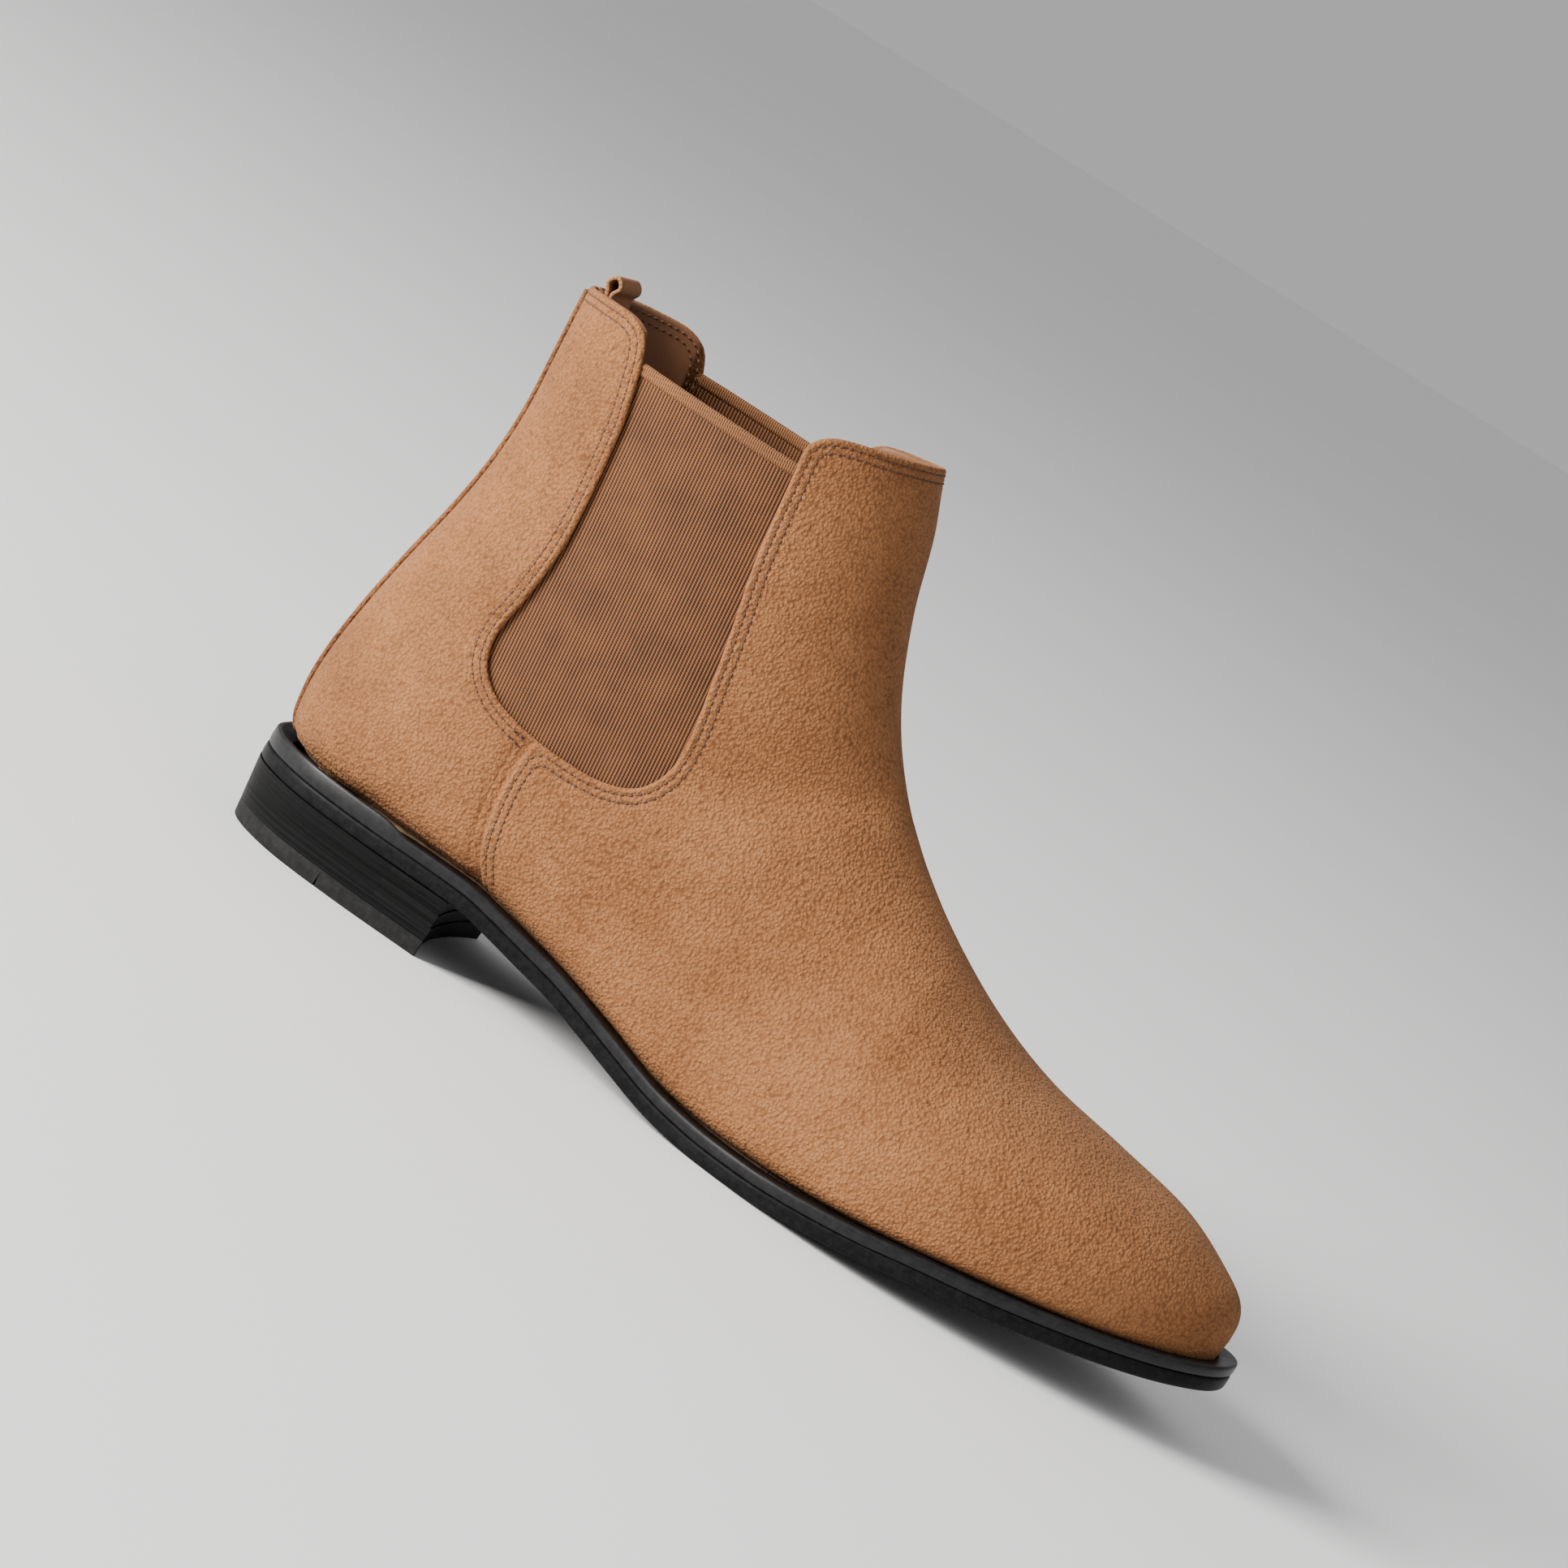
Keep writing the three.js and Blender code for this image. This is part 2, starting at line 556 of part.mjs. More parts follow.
// A webbing loop: its ends are sewn inside the back, and its bight stands over the topline.
const backTop = rise(93.6);
const tabSpan = block([-far, -tabWidth / 2, backTop - tabAnchorDrop], [along(-38), tabWidth / 2, backTop]);
add('pull_tab_anchor', wall(lined + gap, lined + gap + 2 * tabThickness).intersect(tabSpan),
  0xb9855a, 0.9);
const tabX = meet(lowLine, new THREE.Vector2(far, backTop), new THREE.Vector2(-1, 0)).x
  + lined + gap + 2 * tabThickness;
const tabSide = [[tabThickness, 0], [tabDepth / 2, tabRise * 0.45], [tabDepth / 2.4, tabRise * 0.85]];
const tabOutline = (inset) => spline([...tabSide.map(([x, z]) => [-x, z]), [0, tabRise],
  ...[...tabSide].reverse()].map(([x, z]) => new THREE.Vector2(x, z)), 16)
  .map((p) => new THREE.Vector2(tabX + p.x * (1 - (2 * inset) / tabDepth),
    backTop + tabClearance + inset * 1.4 + p.y * (1 - (2.4 * inset) / tabRise)));
const bight = crosswise(tabOutline(0), -tabWidth / 2, tabWidth / 2)
  .subtract(crosswise(tabOutline(tabThickness), -far, far));
add('pull_tab', bight, 0xb9855a, 0.9);

export default group;
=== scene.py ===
import json
import math

import bmesh
import bpy
import numpy as np
from mathutils import Matrix, Vector


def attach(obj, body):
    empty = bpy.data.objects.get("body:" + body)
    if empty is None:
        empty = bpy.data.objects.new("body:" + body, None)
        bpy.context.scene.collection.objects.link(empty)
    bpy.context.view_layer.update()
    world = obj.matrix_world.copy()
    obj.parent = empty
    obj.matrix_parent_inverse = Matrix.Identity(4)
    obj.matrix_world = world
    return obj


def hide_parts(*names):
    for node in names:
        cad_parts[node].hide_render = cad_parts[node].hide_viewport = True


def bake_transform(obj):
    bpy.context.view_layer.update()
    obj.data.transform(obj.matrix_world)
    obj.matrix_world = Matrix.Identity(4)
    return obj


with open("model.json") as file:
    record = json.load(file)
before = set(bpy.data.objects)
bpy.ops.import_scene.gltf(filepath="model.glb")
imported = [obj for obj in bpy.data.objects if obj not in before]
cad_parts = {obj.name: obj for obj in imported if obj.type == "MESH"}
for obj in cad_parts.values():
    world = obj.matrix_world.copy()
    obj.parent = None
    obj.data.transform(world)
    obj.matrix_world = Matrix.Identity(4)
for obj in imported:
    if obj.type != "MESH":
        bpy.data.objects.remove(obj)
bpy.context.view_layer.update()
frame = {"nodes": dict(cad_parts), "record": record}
print("frame loaded")

# Pattern sizes are in millimetres, as on a paper pattern, and every mesh is made in metres.
mm = 0.001

# camera, light and floor

view = {"lens": 108.5, "yaw": -13.4, "pitch": 32.6, "away": (-24.0, 1283.0, -138.4),
        "dip": 2.13, "size": 0.98, "nudge": 1.2}
turned = (Matrix.Rotation(math.radians(view["yaw"]), 3, "Z")
          @ Matrix.Rotation(math.radians(view["pitch"]), 3, "Y")).transposed()
dip = math.radians(view["dip"])
viewRight = turned @ Vector((1, 0, 0))
viewAhead = turned @ Vector((0, math.cos(dip), -math.sin(dip)))
viewUp = turned @ Vector((0, math.sin(dip), math.cos(dip)))
seat = (-(turned @ Vector(view["away"])) * view["size"] - Vector((view["nudge"], 0, 0))) * mm
bpy.ops.object.camera_add(location=seat)
camera = bpy.context.object
camera.name = "camera"
camera.data.lens = view["lens"]
camera.data.clip_end = 20
camera.rotation_euler = Matrix((viewRight, viewUp, -viewAhead)).transposed().to_euler()
bpy.context.scene.camera = camera

lights = {
    "key": {"place": (-1.35, 1.75, 1.2), "size": 1.3, "power": 195, "colour": (1, 0.975, 0.94)},
    "fill": {"place": (1.3, 0.1, 1.3), "size": 1.6, "power": 3, "colour": (0.95, 0.975, 1)},
}
bootMiddle = Vector((0, 0, 0.08))
for name, light in lights.items():
    right, up, near = light["place"]
    spot = bootMiddle + viewRight * right + viewUp * up - viewAhead * near
    spot.z = max(spot.z, 0.25)
    bpy.ops.object.light_add(type="AREA", location=spot)
    lamp = bpy.context.object
    lamp.name = "light_" + name
    lamp.data.size = light["size"]
    lamp.data.energy = light["power"]
    lamp.data.color = light["colour"]
    lamp.rotation_euler = (bootMiddle - spot).to_track_quat("-Z", "Y").to_euler()

sky = bpy.data.worlds.new("sky")
bpy.context.scene.world = sky
sky.use_nodes = True
sky.node_tree.nodes["Background"].inputs["Color"].default_value = (0.93, 0.93, 0.935, 1)
sky.node_tree.nodes["Background"].inputs["Strength"].default_value = 0.5


def put(tree, kind, inputs=(), **settings):
    item = tree.nodes.new(kind)
    for key, value in settings.items():
        setattr(item, key, value)
    for key, value in dict(inputs).items():
        if isinstance(value, bpy.types.NodeSocket):
            tree.links.new(value, item.inputs[key])
        else:
            item.inputs[key].default_value = value
    return item


def newMaterial(name, **fixed):
    made = bpy.data.materials.new(name)
    made.use_nodes = True
    tree = made.node_tree
    shader = tree.nodes["Principled BSDF"]
    for key, value in fixed.items():
        shader.inputs[key.replace("_", " ")].default_value = value
    return made, tree, shader


def ramp(tree, factor, stops):
    made = put(tree, "ShaderNodeValToRGB", {"Fac": factor})
    while len(made.color_ramp.elements) < len(stops):
        made.color_ramp.elements.new(0.5)
    for element, (place, colour) in zip(made.color_ramp.elements, stops):
        element.position = place
        element.color = (*colour, 1) if hasattr(colour, "__len__") else (colour, colour, colour, 1)
    return made.outputs["Color"]


def noise(tree, coords, scale, detail=2, roughness=0.5):
    return put(tree, "ShaderNodeTexNoise", {"Vector": coords, "Scale": scale, "Detail": detail,
               "Roughness": roughness}).outputs["Fac"]


def maths(tree, how, a, b=0.0):
    return put(tree, "ShaderNodeMath", {0: a, 1: b}, operation=how).outputs[0]


def place(tree):
    return put(tree, "ShaderNodeTexCoord").outputs["Object"]


def floorMaterial():
    made, tree, shader = newMaterial("floor_matt", Roughness=0.9)
    cloud = noise(tree, place(tree), 3, 3)
    tree.links.new(ramp(tree, cloud, [(0.3, (0.89, 0.89, 0.895)), (0.7, (0.91, 0.91, 0.915))]),
                   shader.inputs["Base Color"])
    return made


bpy.ops.mesh.primitive_plane_add(size=60, location=(0, 0, 0))
ground = bpy.context.object
ground.name = "floor"
bpy.ops.object.mode_set(mode="EDIT")
bpy.ops.mesh.subdivide(number_cuts=3)
bpy.ops.object.mode_set(mode="OBJECT")
ground.data.materials.append(floorMaterial())
print("camera, light and floor")

# materials

suedeTones = {"deep": (0.138, 0.052, 0.0175), "body": (0.240, 0.098, 0.036), "light": (0.352, 0.158, 0.064)}


def suede(name, tones, napScale=1150, depth=0.00022):
    made, tree, shader = newMaterial(name, Roughness=0.93, Sheen_Weight=0.09, Sheen_Roughness=0.4,
                                     Sheen_Tint=(1, 0.66, 0.42, 1), Specular_IOR_Level=0.2)
    spot = place(tree)
    patches = noise(tree, spot, 26, 3, 0.55)
    clouds = noise(tree, spot, 150, 3, 0.6)
    shift = put(tree, "ShaderNodeVectorMath", {0: put(tree, "ShaderNodeTexNoise", {
        "Vector": spot, "Scale": 900, "Detail": 1}).outputs["Color"]}, operation="SCALE")
    shift.inputs["Scale"].default_value = 0.0007
    moved = put(tree, "ShaderNodeVectorMath", {0: spot, 1: shift.outputs[0]}, operation="ADD")
    pebble = put(tree, "ShaderNodeTexVoronoi", {"Vector": moved.outputs[0], "Scale": napScale,
                 "Smoothness": 0.7}, feature="SMOOTH_F1")
    beadHeightAndShade = maths(tree, "SUBTRACT", 1.0, pebble.outputs["Distance"])
    fibre = noise(tree, spot, 3600, 2, 0.6)
    # the bead term paints the pebbles darker in their pits as painted shade and lighter on their tips as painted
    # highlight; the same term makes the bump
    tone = maths(tree, "ADD", maths(tree, "MULTIPLY", patches, 0.42),
                 maths(tree, "ADD", maths(tree, "MULTIPLY", clouds, 0.20),
                       maths(tree, "MULTIPLY", beadHeightAndShade, 0.42)))
    colour = ramp(tree, tone, [(0.33, tones["deep"]), (0.56, tones["body"]), (0.79, tones["light"])])
    tree.links.new(colour, shader.inputs["Base Color"])
    height = maths(tree, "ADD", maths(tree, "MULTIPLY", beadHeightAndShade, 1.0), maths(tree, "MULTIPLY", fibre, 0.35))
    bump = put(tree, "ShaderNodeBump", {"Height": height, "Distance": depth * 2.6, "Strength": 1.0})
    tree.links.new(bump.outputs["Normal"], shader.inputs["Normal"])
    return made


def smoothLeather(name, dark, light, roughness=0.55):
    made, tree, shader = newMaterial(name, Specular_IOR_Level=0.4)
    spot = place(tree)
    cloud = noise(tree, spot, 60, 4, 0.6)
    pore = put(tree, "ShaderNodeTexVoronoi", {"Vector": spot, "Scale": 1400}, feature="DISTANCE_TO_EDGE")
    tree.links.new(ramp(tree, cloud, [(0.3, dark), (0.7, light)]), shader.inputs["Base Color"])
    rough = put(tree, "ShaderNodeMapRange", {"Value": cloud, "To Min": roughness - 0.08,
                "To Max": roughness + 0.1})
    tree.links.new(rough.outputs[0], shader.inputs["Roughness"])
    bump = put(tree, "ShaderNodeBump", {"Height": pore.outputs["Distance"], "Distance": 0.00006,
               "Strength": 0.5})
    tree.links.new(bump.outputs["Normal"], shader.inputs["Normal"])
    return made


def woven(name, dark, light, ribs=1250, picks=1900, slant=0.0, depth=0.00016):
    # ribs and picks are threads per metre, along and across the cloth
    made, tree, shader = newMaterial(name, Roughness=0.82, Sheen_Weight=0.07, Sheen_Roughness=0.5,
                                     Sheen_Tint=(1, 0.66, 0.42, 1),
                                     Specular_IOR_Level=0.25)
    uv = put(tree, "ShaderNodeUVMap", uv_map="UVMap").outputs["UV"]
    split = put(tree, "ShaderNodeSeparateXYZ", {0: uv})
    u, v = split.outputs["X"], split.outputs["Y"]
    rib = maths(tree, "MULTIPLY", u, ribs * 2 * math.pi)
    ribWave = maths(tree, "SINE", rib)
    lean = maths(tree, "ADD", maths(tree, "MULTIPLY", v, picks * 2 * math.pi),
                 maths(tree, "MULTIPLY", rib, 0.5 + slant))
    pickWave = maths(tree, "SINE", lean)
    weaveHeightAndShade = maths(tree, "ADD", maths(tree, "MULTIPLY", ribWave, 0.40),
                      maths(tree, "MULTIPLY", pickWave, 0.18))
    worn = noise(tree, place(tree), 90, 3, 0.6)
    # the rib and pick waves paint the cloth darker in its grooves as painted shade and lighter on its crests as
    # painted highlight; the same waves make the bump
    tone = maths(tree, "ADD", maths(tree, "ADD", weaveHeightAndShade, 0.25), maths(tree, "MULTIPLY", worn, 0.5))
    tree.links.new(ramp(tree, tone, [(0.12, dark), (0.92, light)]), shader.inputs["Base Color"])
    bump = put(tree, "ShaderNodeBump", {"Height": weaveHeightAndShade, "Distance": depth, "Strength": 0.9})
    tree.links.new(bump.outputs["Normal"], shader.inputs["Normal"])
    return made


def blackEdge(name, dark, light, lines=0.0, roughness=0.34, gloss=0.06, wax=0.0):
    # a burnished edge: fine layers along it, faint scuffs, a soft shine
    made, tree, shader = newMaterial(name, Specular_IOR_Level=gloss, Coat_Weight=wax,
                                     Coat_Roughness=0.3)
    spot = place(tree)
    flat = put(tree, "ShaderNodeMapping", {"Vector": spot, "Scale": (14, 14, 2100)})
    layers = noise(tree, flat.outputs[0], 1, 2, 0.7)
    scuff = noise(tree, spot, 420, 5, 0.75)
    dust = noise(tree, spot, 35, 3, 0.5)
    tone = maths(tree, "ADD", maths(tree, "MULTIPLY", layers, lines),
                 maths(tree, "MULTIPLY", scuff, 1 - lines))
    tree.links.new(ramp(tree, tone, [(0.42, dark), (0.74, light)]), shader.inputs["Base Color"])
    rough = put(tree, "ShaderNodeMapRange", {"Value": maths(tree, "ADD", maths(tree, "MULTIPLY", scuff, 0.5),
                maths(tree, "MULTIPLY", dust, 0.5)), "To Min": roughness - 0.1, "To Max": roughness + 0.26})
    tree.links.new(rough.outputs[0], shader.inputs["Roughness"])
    bump = put(tree, "ShaderNodeBump", {"Height": tone, "Distance": 0.00009, "Strength": 0.4})
    tree.links.new(bump.outputs["Normal"], shader.inputs["Normal"])
    return made


def grains(name, dark, light, scale, roughness=0.85, metallic=0.0):
    made, tree, shader = newMaterial(name, Roughness=roughness, Metallic=metallic)
    spot = place(tree)
    grain = noise(tree, spot, scale, 5, 0.7)
    tree.links.new(ramp(tree, grain, [(0.35, dark), (0.65, light)]), shader.inputs["Base Color"])
    bump = put(tree, "ShaderNodeBump", {"Height": grain, "Distance": 0.0001, "Strength": 0.5})
    tree.links.new(bump.outputs["Normal"], shader.inputs["Normal"])
    return made


finishes = {
    "suede": suede("suede_nap", suedeTones),
    "suede_strip": suede("suede_strip_nap", {"deep": (0.08, 0.03, 0.011), "body": (0.19, 0.075, 0.028),
                         "light": (0.30, 0.13, 0.052)}),
    "elastic": woven("elastic_rib", (0.012, 0.0035, 0.001), (0.225, 0.086, 0.029), 1050, 1500, depth=0.00022),
    "gore_binding": woven("binding_tape", (0.085, 0.032, 0.011), (0.27, 0.115, 0.045), 1500, 900, 0.4),
    "lining_leather": smoothLeather("lining_calf", (0.13, 0.050, 0.019), (0.18, 0.073, 0.028)),
    "sock_leather": smoothLeather("sock_calf", (0.30, 0.16, 0.08), (0.40, 0.22, 0.12)),
    "stiffener": grains("stiffener_felt", (0.55, 0.48, 0.36), (0.70, 0.62, 0.48), 900),
    "cork": grains("cork_grain", (0.22, 0.12, 0.06), (0.45, 0.29, 0.16), 420),
    "insole_board": grains("board_fibre", (0.45, 0.34, 0.20), (0.60, 0.48, 0.30), 1200),
    "spring_steel": grains("shank_steel", (0.42, 0.43, 0.45), (0.55, 0.56, 0.58), 700, 0.38, 1.0),
    "nail_steel": grains("nail_bright", (0.50, 0.51, 0.53), (0.62, 0.63, 0.65), 900, 0.32, 1.0),
    "outsole_rubber": blackEdge("outsole_black", (0.0045, 0.0045, 0.005), (0.013, 0.013, 0.0135), 0.2),
    "welt_black": blackEdge("welt_waxed", (0.005, 0.005, 0.0055), (0.016, 0.016, 0.017), 0.3, 0.3,
                            0.22, 0.03),
    "heel_stack": blackEdge("heel_layers", (0.003, 0.003, 0.003), (0.011, 0.011, 0.0115), 0.85, 0.4),
    "top_piece_rubber": blackEdge("top_piece_matt", (0.012, 0.012, 0.012), (0.023, 0.023, 0.0235), 0.1, 0.55),
    "webbing": woven("webbing_tape", (0.13, 0.052, 0.02), (0.38, 0.175, 0.075), 900, 900, 0.0),
    "thread_tan": grains("thread_tan", (0.040, 0.014, 0.0045), (0.085, 0.032, 0.011), 2500, 0.6),
    "thread_brown": grains("thread_brown", (0.06, 0.022, 0.007), (0.11, 0.042, 0.015), 2500, 0.6),
    # needle_hole: a dark brown painted as the shade inside the needle holes
    "needle_hole": grains("needle_hole", (0.030, 0.010, 0.003), (0.06, 0.022, 0.008), 1500, 0.95),
}
slotOf = {row["node"]: row["material_slot"] for row in frame["record"]["subparts"]}
for node, item in frame["nodes"].items():
    item.data.materials.clear()
    item.data.materials.append(finishes[slotOf[node]])
print("materials")

# curves


def smoothCurve(points):
    px, py = np.array(points, float).T
    before = np.maximum(np.arange(len(px)) - 1, 0)
    after = np.minimum(np.arange(len(px)) + 1, len(px) - 1)
    slope = (py[after] - py[before]) / (px[after] - px[before])

    def at(t):
        t = np.asarray(t, float)
        i = np.clip(np.searchsorted(px, t, side="right") - 1, 0, len(px) - 2)
        span = px[i + 1] - px[i]
        s = np.clip((t - px[i]) / span, 0, 1)
        ease = s * s * (3 - 2 * s)
        value = py[i] * (1 - ease) + py[i + 1] * ease
        value += s * (1 - s) ** 2 * span * slope[i] + s * s * (s - 1) * span * slope[i + 1]
        return value + np.minimum(t - px[0], 0) * slope[0] + np.maximum(t - px[-1], 0) * slope[-1]
    return at


def spline(points, steps, closed=False):
    points = np.array(points, float)
    count = len(points)
    if closed:
        padded = np.vstack([points[-1:], points, points[:2]])
    else:
        padded = np.vstack([2 * points[0] - points[1], points, 2 * points[-1] - points[-2]])
    runs = count if closed else count - 1
    t = np.linspace(0, runs, steps + 1)
    i = np.minimum(t.astype(int), runs - 1)
    s = (t - i)[:, None]
    a, b, c, d = (padded[i + k] for k in range(4))
    first, mid, last = (np.sqrt(np.linalg.norm(q - p, axis=1))[:, None] for p, q in ((a, b), (b, c), (c, d)))
    leave = ((b - a) / first - (c - a) / (first + mid) + (c - b) / mid) * mid
    arrive = ((c - b) / mid - (d - b) / (mid + last) + (d - c) / last) * mid
    line = b + leave * s + (3 * (c - b) - 2 * leave - arrive) * s ** 2 \
        + (2 * (b - c) + leave + arrive) * s ** 3
    return line[:-1] if closed else line


# shape of the boot

boot = {"length": 309, "ballWidth": 100, "height": 183, "heelHeight": 17.4, "toeSpring": 19,
        "outsole": 4.2, "welt": 3.3, "gap": 0.3, "featherDrop": 1.5, "suede": 1.7, "liningIn": 2.0,
        "liningOut": 3.9, "gore": 1.2}


def along(percent):
    return np.asarray(percent, float) * boot["length"] / 100


def rise(percent):
    return np.asarray(percent, float) * boot["height"] / 100


def across(percent):
    return np.asarray(percent, float) * boot["ballWidth"] / 100


def places(points):
    return np.array([[along(x), rise(z)] for x, z in points])


heel, spring = boot["heelHeight"], boot["toeSpring"]
soleCurve = smoothCurve([
    (-50, heel), (-38, heel), (-26, heel), (-22.5, heel * 0.91), (-19, heel * 0.79),
    (-15, heel * 0.66), (-11, heel * 0.48), (-7, heel * 0.29), (-2.5, heel * 0.1), (2, 0.2), (5, 0),
    (10, spring * 0.03), (18, spring * 0.17), (24, spring * 0.32), (31, spring * 0.46),
    (38, spring * 0.62), (44, spring * 0.78), (50, spring)])
soleTotal = boot["outsole"] + boot["gap"] + boot["welt"]


def underside(x):
    return soleCurve(np.asarray(x) / boot["length"] * 100)


solePlan = spline([(along(x), across(y)) for x, y in [
    (50, 1), (49.3, -9), (47.2, -17.5), (43, -27), (36.5, -37.5), (28.5, -46), (20, -50),
    (11.5, -49), (2, -43.5), (-8, -37.5), (-18, -34.2), (-28, -33.5), (-36, -32.3),
    (-43.5, -27.5), (-48, -18), (-49.7, -9), (-50, 0), (-49.7, 9), (-48, 18), (-43.5, 27),
    (-36, 31), (-28, 30), (-18, 27.5), (-9.5, 27.5), (-1, 31.5), (8.5, 40.5), (17, 47.8),
    (23.5, 50), (30, 47.5), (36.5, 40), (43, 29.5), (47.2, 19.5), (49.3, 10.5)]], 900, True)

toeTip = (48.3, 16.6)
frontLine = spline(places([
    toeTip, (48.1, 20), (47.2, 22.4), (44.5, 25.1), (39.5, 28.6), (31.5, 31), (23.5, 33.3),
    (16, 38), (8, 45.8), (1.2, 55), (-4, 65.8), (-7.6, 78.5), (-9.8, 90), (-12, 99), (-13.4, 109)]), 500)
featherX = along([47.9, 46.9, 45, 41, 35, 27, 18, 8, -2, -10, -18, -28, -38, -45])
featherLine = np.column_stack([featherX, underside(featherX) + soleTotal - boot["featherDrop"]])
backLine = places([
    (-48.6, 15.7), (-49.5, 21), (-49.6, 27.5), (-49, 36), (-47.9, 46), (-46.6, 56), (-45.8, 65),
    (-45.6, 74), (-46, 84), (-46.4, 94), (-46.6, 109)])
lowLine = spline(np.vstack([places([toeTip]), featherLine, backLine]), 700)
fanCentre = places([(12, 66)])[0]
tipX = along(toeTip[0])
shaftTop = rise(108)

outerWidth = smoothCurve([
    (0, 0), (0.09, 5.6), (0.19, 11.4), (0.28, 17), (0.38, 23), (0.47, 28.8), (0.56, 34.6), (0.66, 40),
    (0.75, 44.2), (0.85, 46.8), (0.94, 46.6), (1, 45), (1.11, 42.2), (1.22, 39.2), (1.33, 36.4),
    (1.44, 34.8), (1.56, 34.2), (1.67, 34.2), (1.78, 34.4), (2, 35), (2.4, 36), (3, 36.4)])
innerWidth = smoothCurve([
    (0, 0), (0.09, 6.2), (0.19, 12.4), (0.28, 18.6), (0.38, 25), (0.47, 31), (0.56, 36.8), (0.66, 42),
    (0.75, 45.6), (0.85, 46.4), (0.94, 43.4), (1, 39.8), (1.11, 37), (1.22, 34), (1.33, 32),
    (1.44, 31.4), (1.56, 31.8), (1.67, 32.4), (1.78, 33.6), (2, 34.6), (2.4, 36), (3, 36.4)])
widestAt = smoothCurve([(0, 0.5), (0.3, 0.62), (0.8, 0.72), (1.1, 0.75), (1.25, 0.7), (1.45, 0.58),
                        (1.6, 0.5), (3, 0.5)])
frontPower = smoothCurve([(0, 2.1), (0.6, 2.05), (1, 1.9), (1.3, 1.85), (2, 2), (3, 2.1)])
lowPower = smoothCurve([(0, 2.4), (0.12, 4), (0.3, 6), (1, 7), (1.4, 7), (1.6, 5), (1.66, 3.4),
                        (1.74, 2.5), (1.85, 2.3), (3, 2.2)])


def meetings(line, starts, rays):
    # where each ray first meets a line of the side view
    a = line[None, :-1] - starts[:, None]
    b = line[None, 1:] - starts[:, None]
    ray = rays[:, None]
    sideA = a[..., 0] * ray[..., 1] - a[..., 1] * ray[..., 0]
    sideB = b[..., 0] * ray[..., 1] - b[..., 1] * ray[..., 0]
    apart = np.where(sideA == sideB, 1, sideA - sideB)
    point = a + (b - a) * (sideA / apart)[..., None]
    reach = (point * ray).sum(-1)
    reach = np.where((sideA * sideB <= 0) & (sideA != sideB) & (reach > 0), reach, np.inf)
    return point[np.arange(len(starts)), reach.argmin(1)] + starts


turnTable = np.linspace(0, 3, 1501)
fanAngle = np.clip(turnTable - 1, 0, 1) * math.pi / 2
starts = np.where((turnTable <= 1)[:, None], np.column_stack([
    tipX - (tipX - fanCentre[0]) * turnTable ** 2, np.full(1501, 400.0)]), fanCentre)
starts = np.where((turnTable > 2)[:, None], np.column_stack([
    np.full(1501, 400.0), fanCentre[1] + (shaftTop - fanCentre[1]) * (turnTable - 2)]), starts)
rays = np.column_stack([-np.sin(fanAngle), -np.cos(fanAngle)])
frontTable = meetings(frontLine, starts, rays)
lowTable = meetings(lowLine, starts, rays)
frontTable[0] = lowTable[0] = places([toeTip])[0]


def lastPoint(turn, angle):
    # angle is 0 on the front line and half a turn on the low line; its sign picks the side
    turn, angle = np.broadcast_arrays(np.asarray(turn, float), np.asarray(angle, float))
    angle = (angle + math.pi) % (2 * math.pi) - math.pi
    fx, fz = (np.interp(turn, turnTable, frontTable[:, k]) for k in range(2))
    lx, lz = (np.interp(turn, turnTable, lowTable[:, k]) for k in range(2))
    size = np.abs(angle)
    upper = size < math.pi / 2
    power = np.where(upper, frontPower(turn), lowPower(turn))
    widest = widestAt(turn)
    reach = np.abs(np.cos(size)) ** (2 / power)
    share = np.where(upper, widest - widest * reach, widest + (1 - widest) * reach)
    width = np.where(angle < 0, -across(outerWidth(turn)), across(innerWidth(turn)))
    y = width * np.maximum(np.sin(size), 0) ** (2 / power)
    return np.stack([fx + (lx - fx) * share, y, fz + (lz - fz) * share], -1)


def lastNormal(turn, angle):
    turn, angle = np.broadcast_arrays(np.asarray(turn, float), np.asarray(angle, float))
    ahead = lastPoint(np.minimum(turn + 0.008, 3), angle) - lastPoint(np.maximum(turn - 0.008, 0.004), angle)
    around = lastPoint(turn, angle + 0.05) - lastPoint(turn, angle - 0.05)
    normal = np.cross(around, ahead)
    size = np.linalg.norm(normal, axis=-1, keepdims=True)
    return np.where(size < 1e-6, np.array([1.0, 0, 0]), normal / np.maximum(size, 1e-9))


def lastPlace(x, z, side):
    # turn and angle of the surface point that shows at x, z in side view
    x, z = np.asarray(x, float), np.asarray(z, float)
    turn = np.where(x > fanCentre[0], np.sqrt(np.clip((tipX - x) / (tipX - fanCentre[0]), 0, 1)),
                    1 + np.arctan2(fanCentre[0] - x, fanCentre[1] - z) / (math.pi / 2))
    turn = np.where((z > fanCentre[1]) & (x < fanCentre[0]),
                    2 + (z - fanCentre[1]) / (shaftTop - fanCentre[1]), turn)
    fx, fz = (np.interp(turn, turnTable, frontTable[:, k]) for k in range(2))
    lx, lz = (np.interp(turn, turnTable, lowTable[:, k]) for k in range(2))
    share = ((x - fx) * (lx - fx) + (z - fz) * (lz - fz)) / ((lx - fx) ** 2 + (lz - fz) ** 2)
    share = np.clip(share, 0, 1)
    widest = widestAt(turn)
    up = np.arccos(np.clip((widest - share) / widest, 0, 1) ** (frontPower(turn) / 2))
    down = math.pi - np.arccos(np.clip((share - widest) / (1 - widest), 0, 1) ** (lowPower(turn) / 2))
    return turn, side * np.where(share < widest, up, down)


# sheets cut from the surface of the last


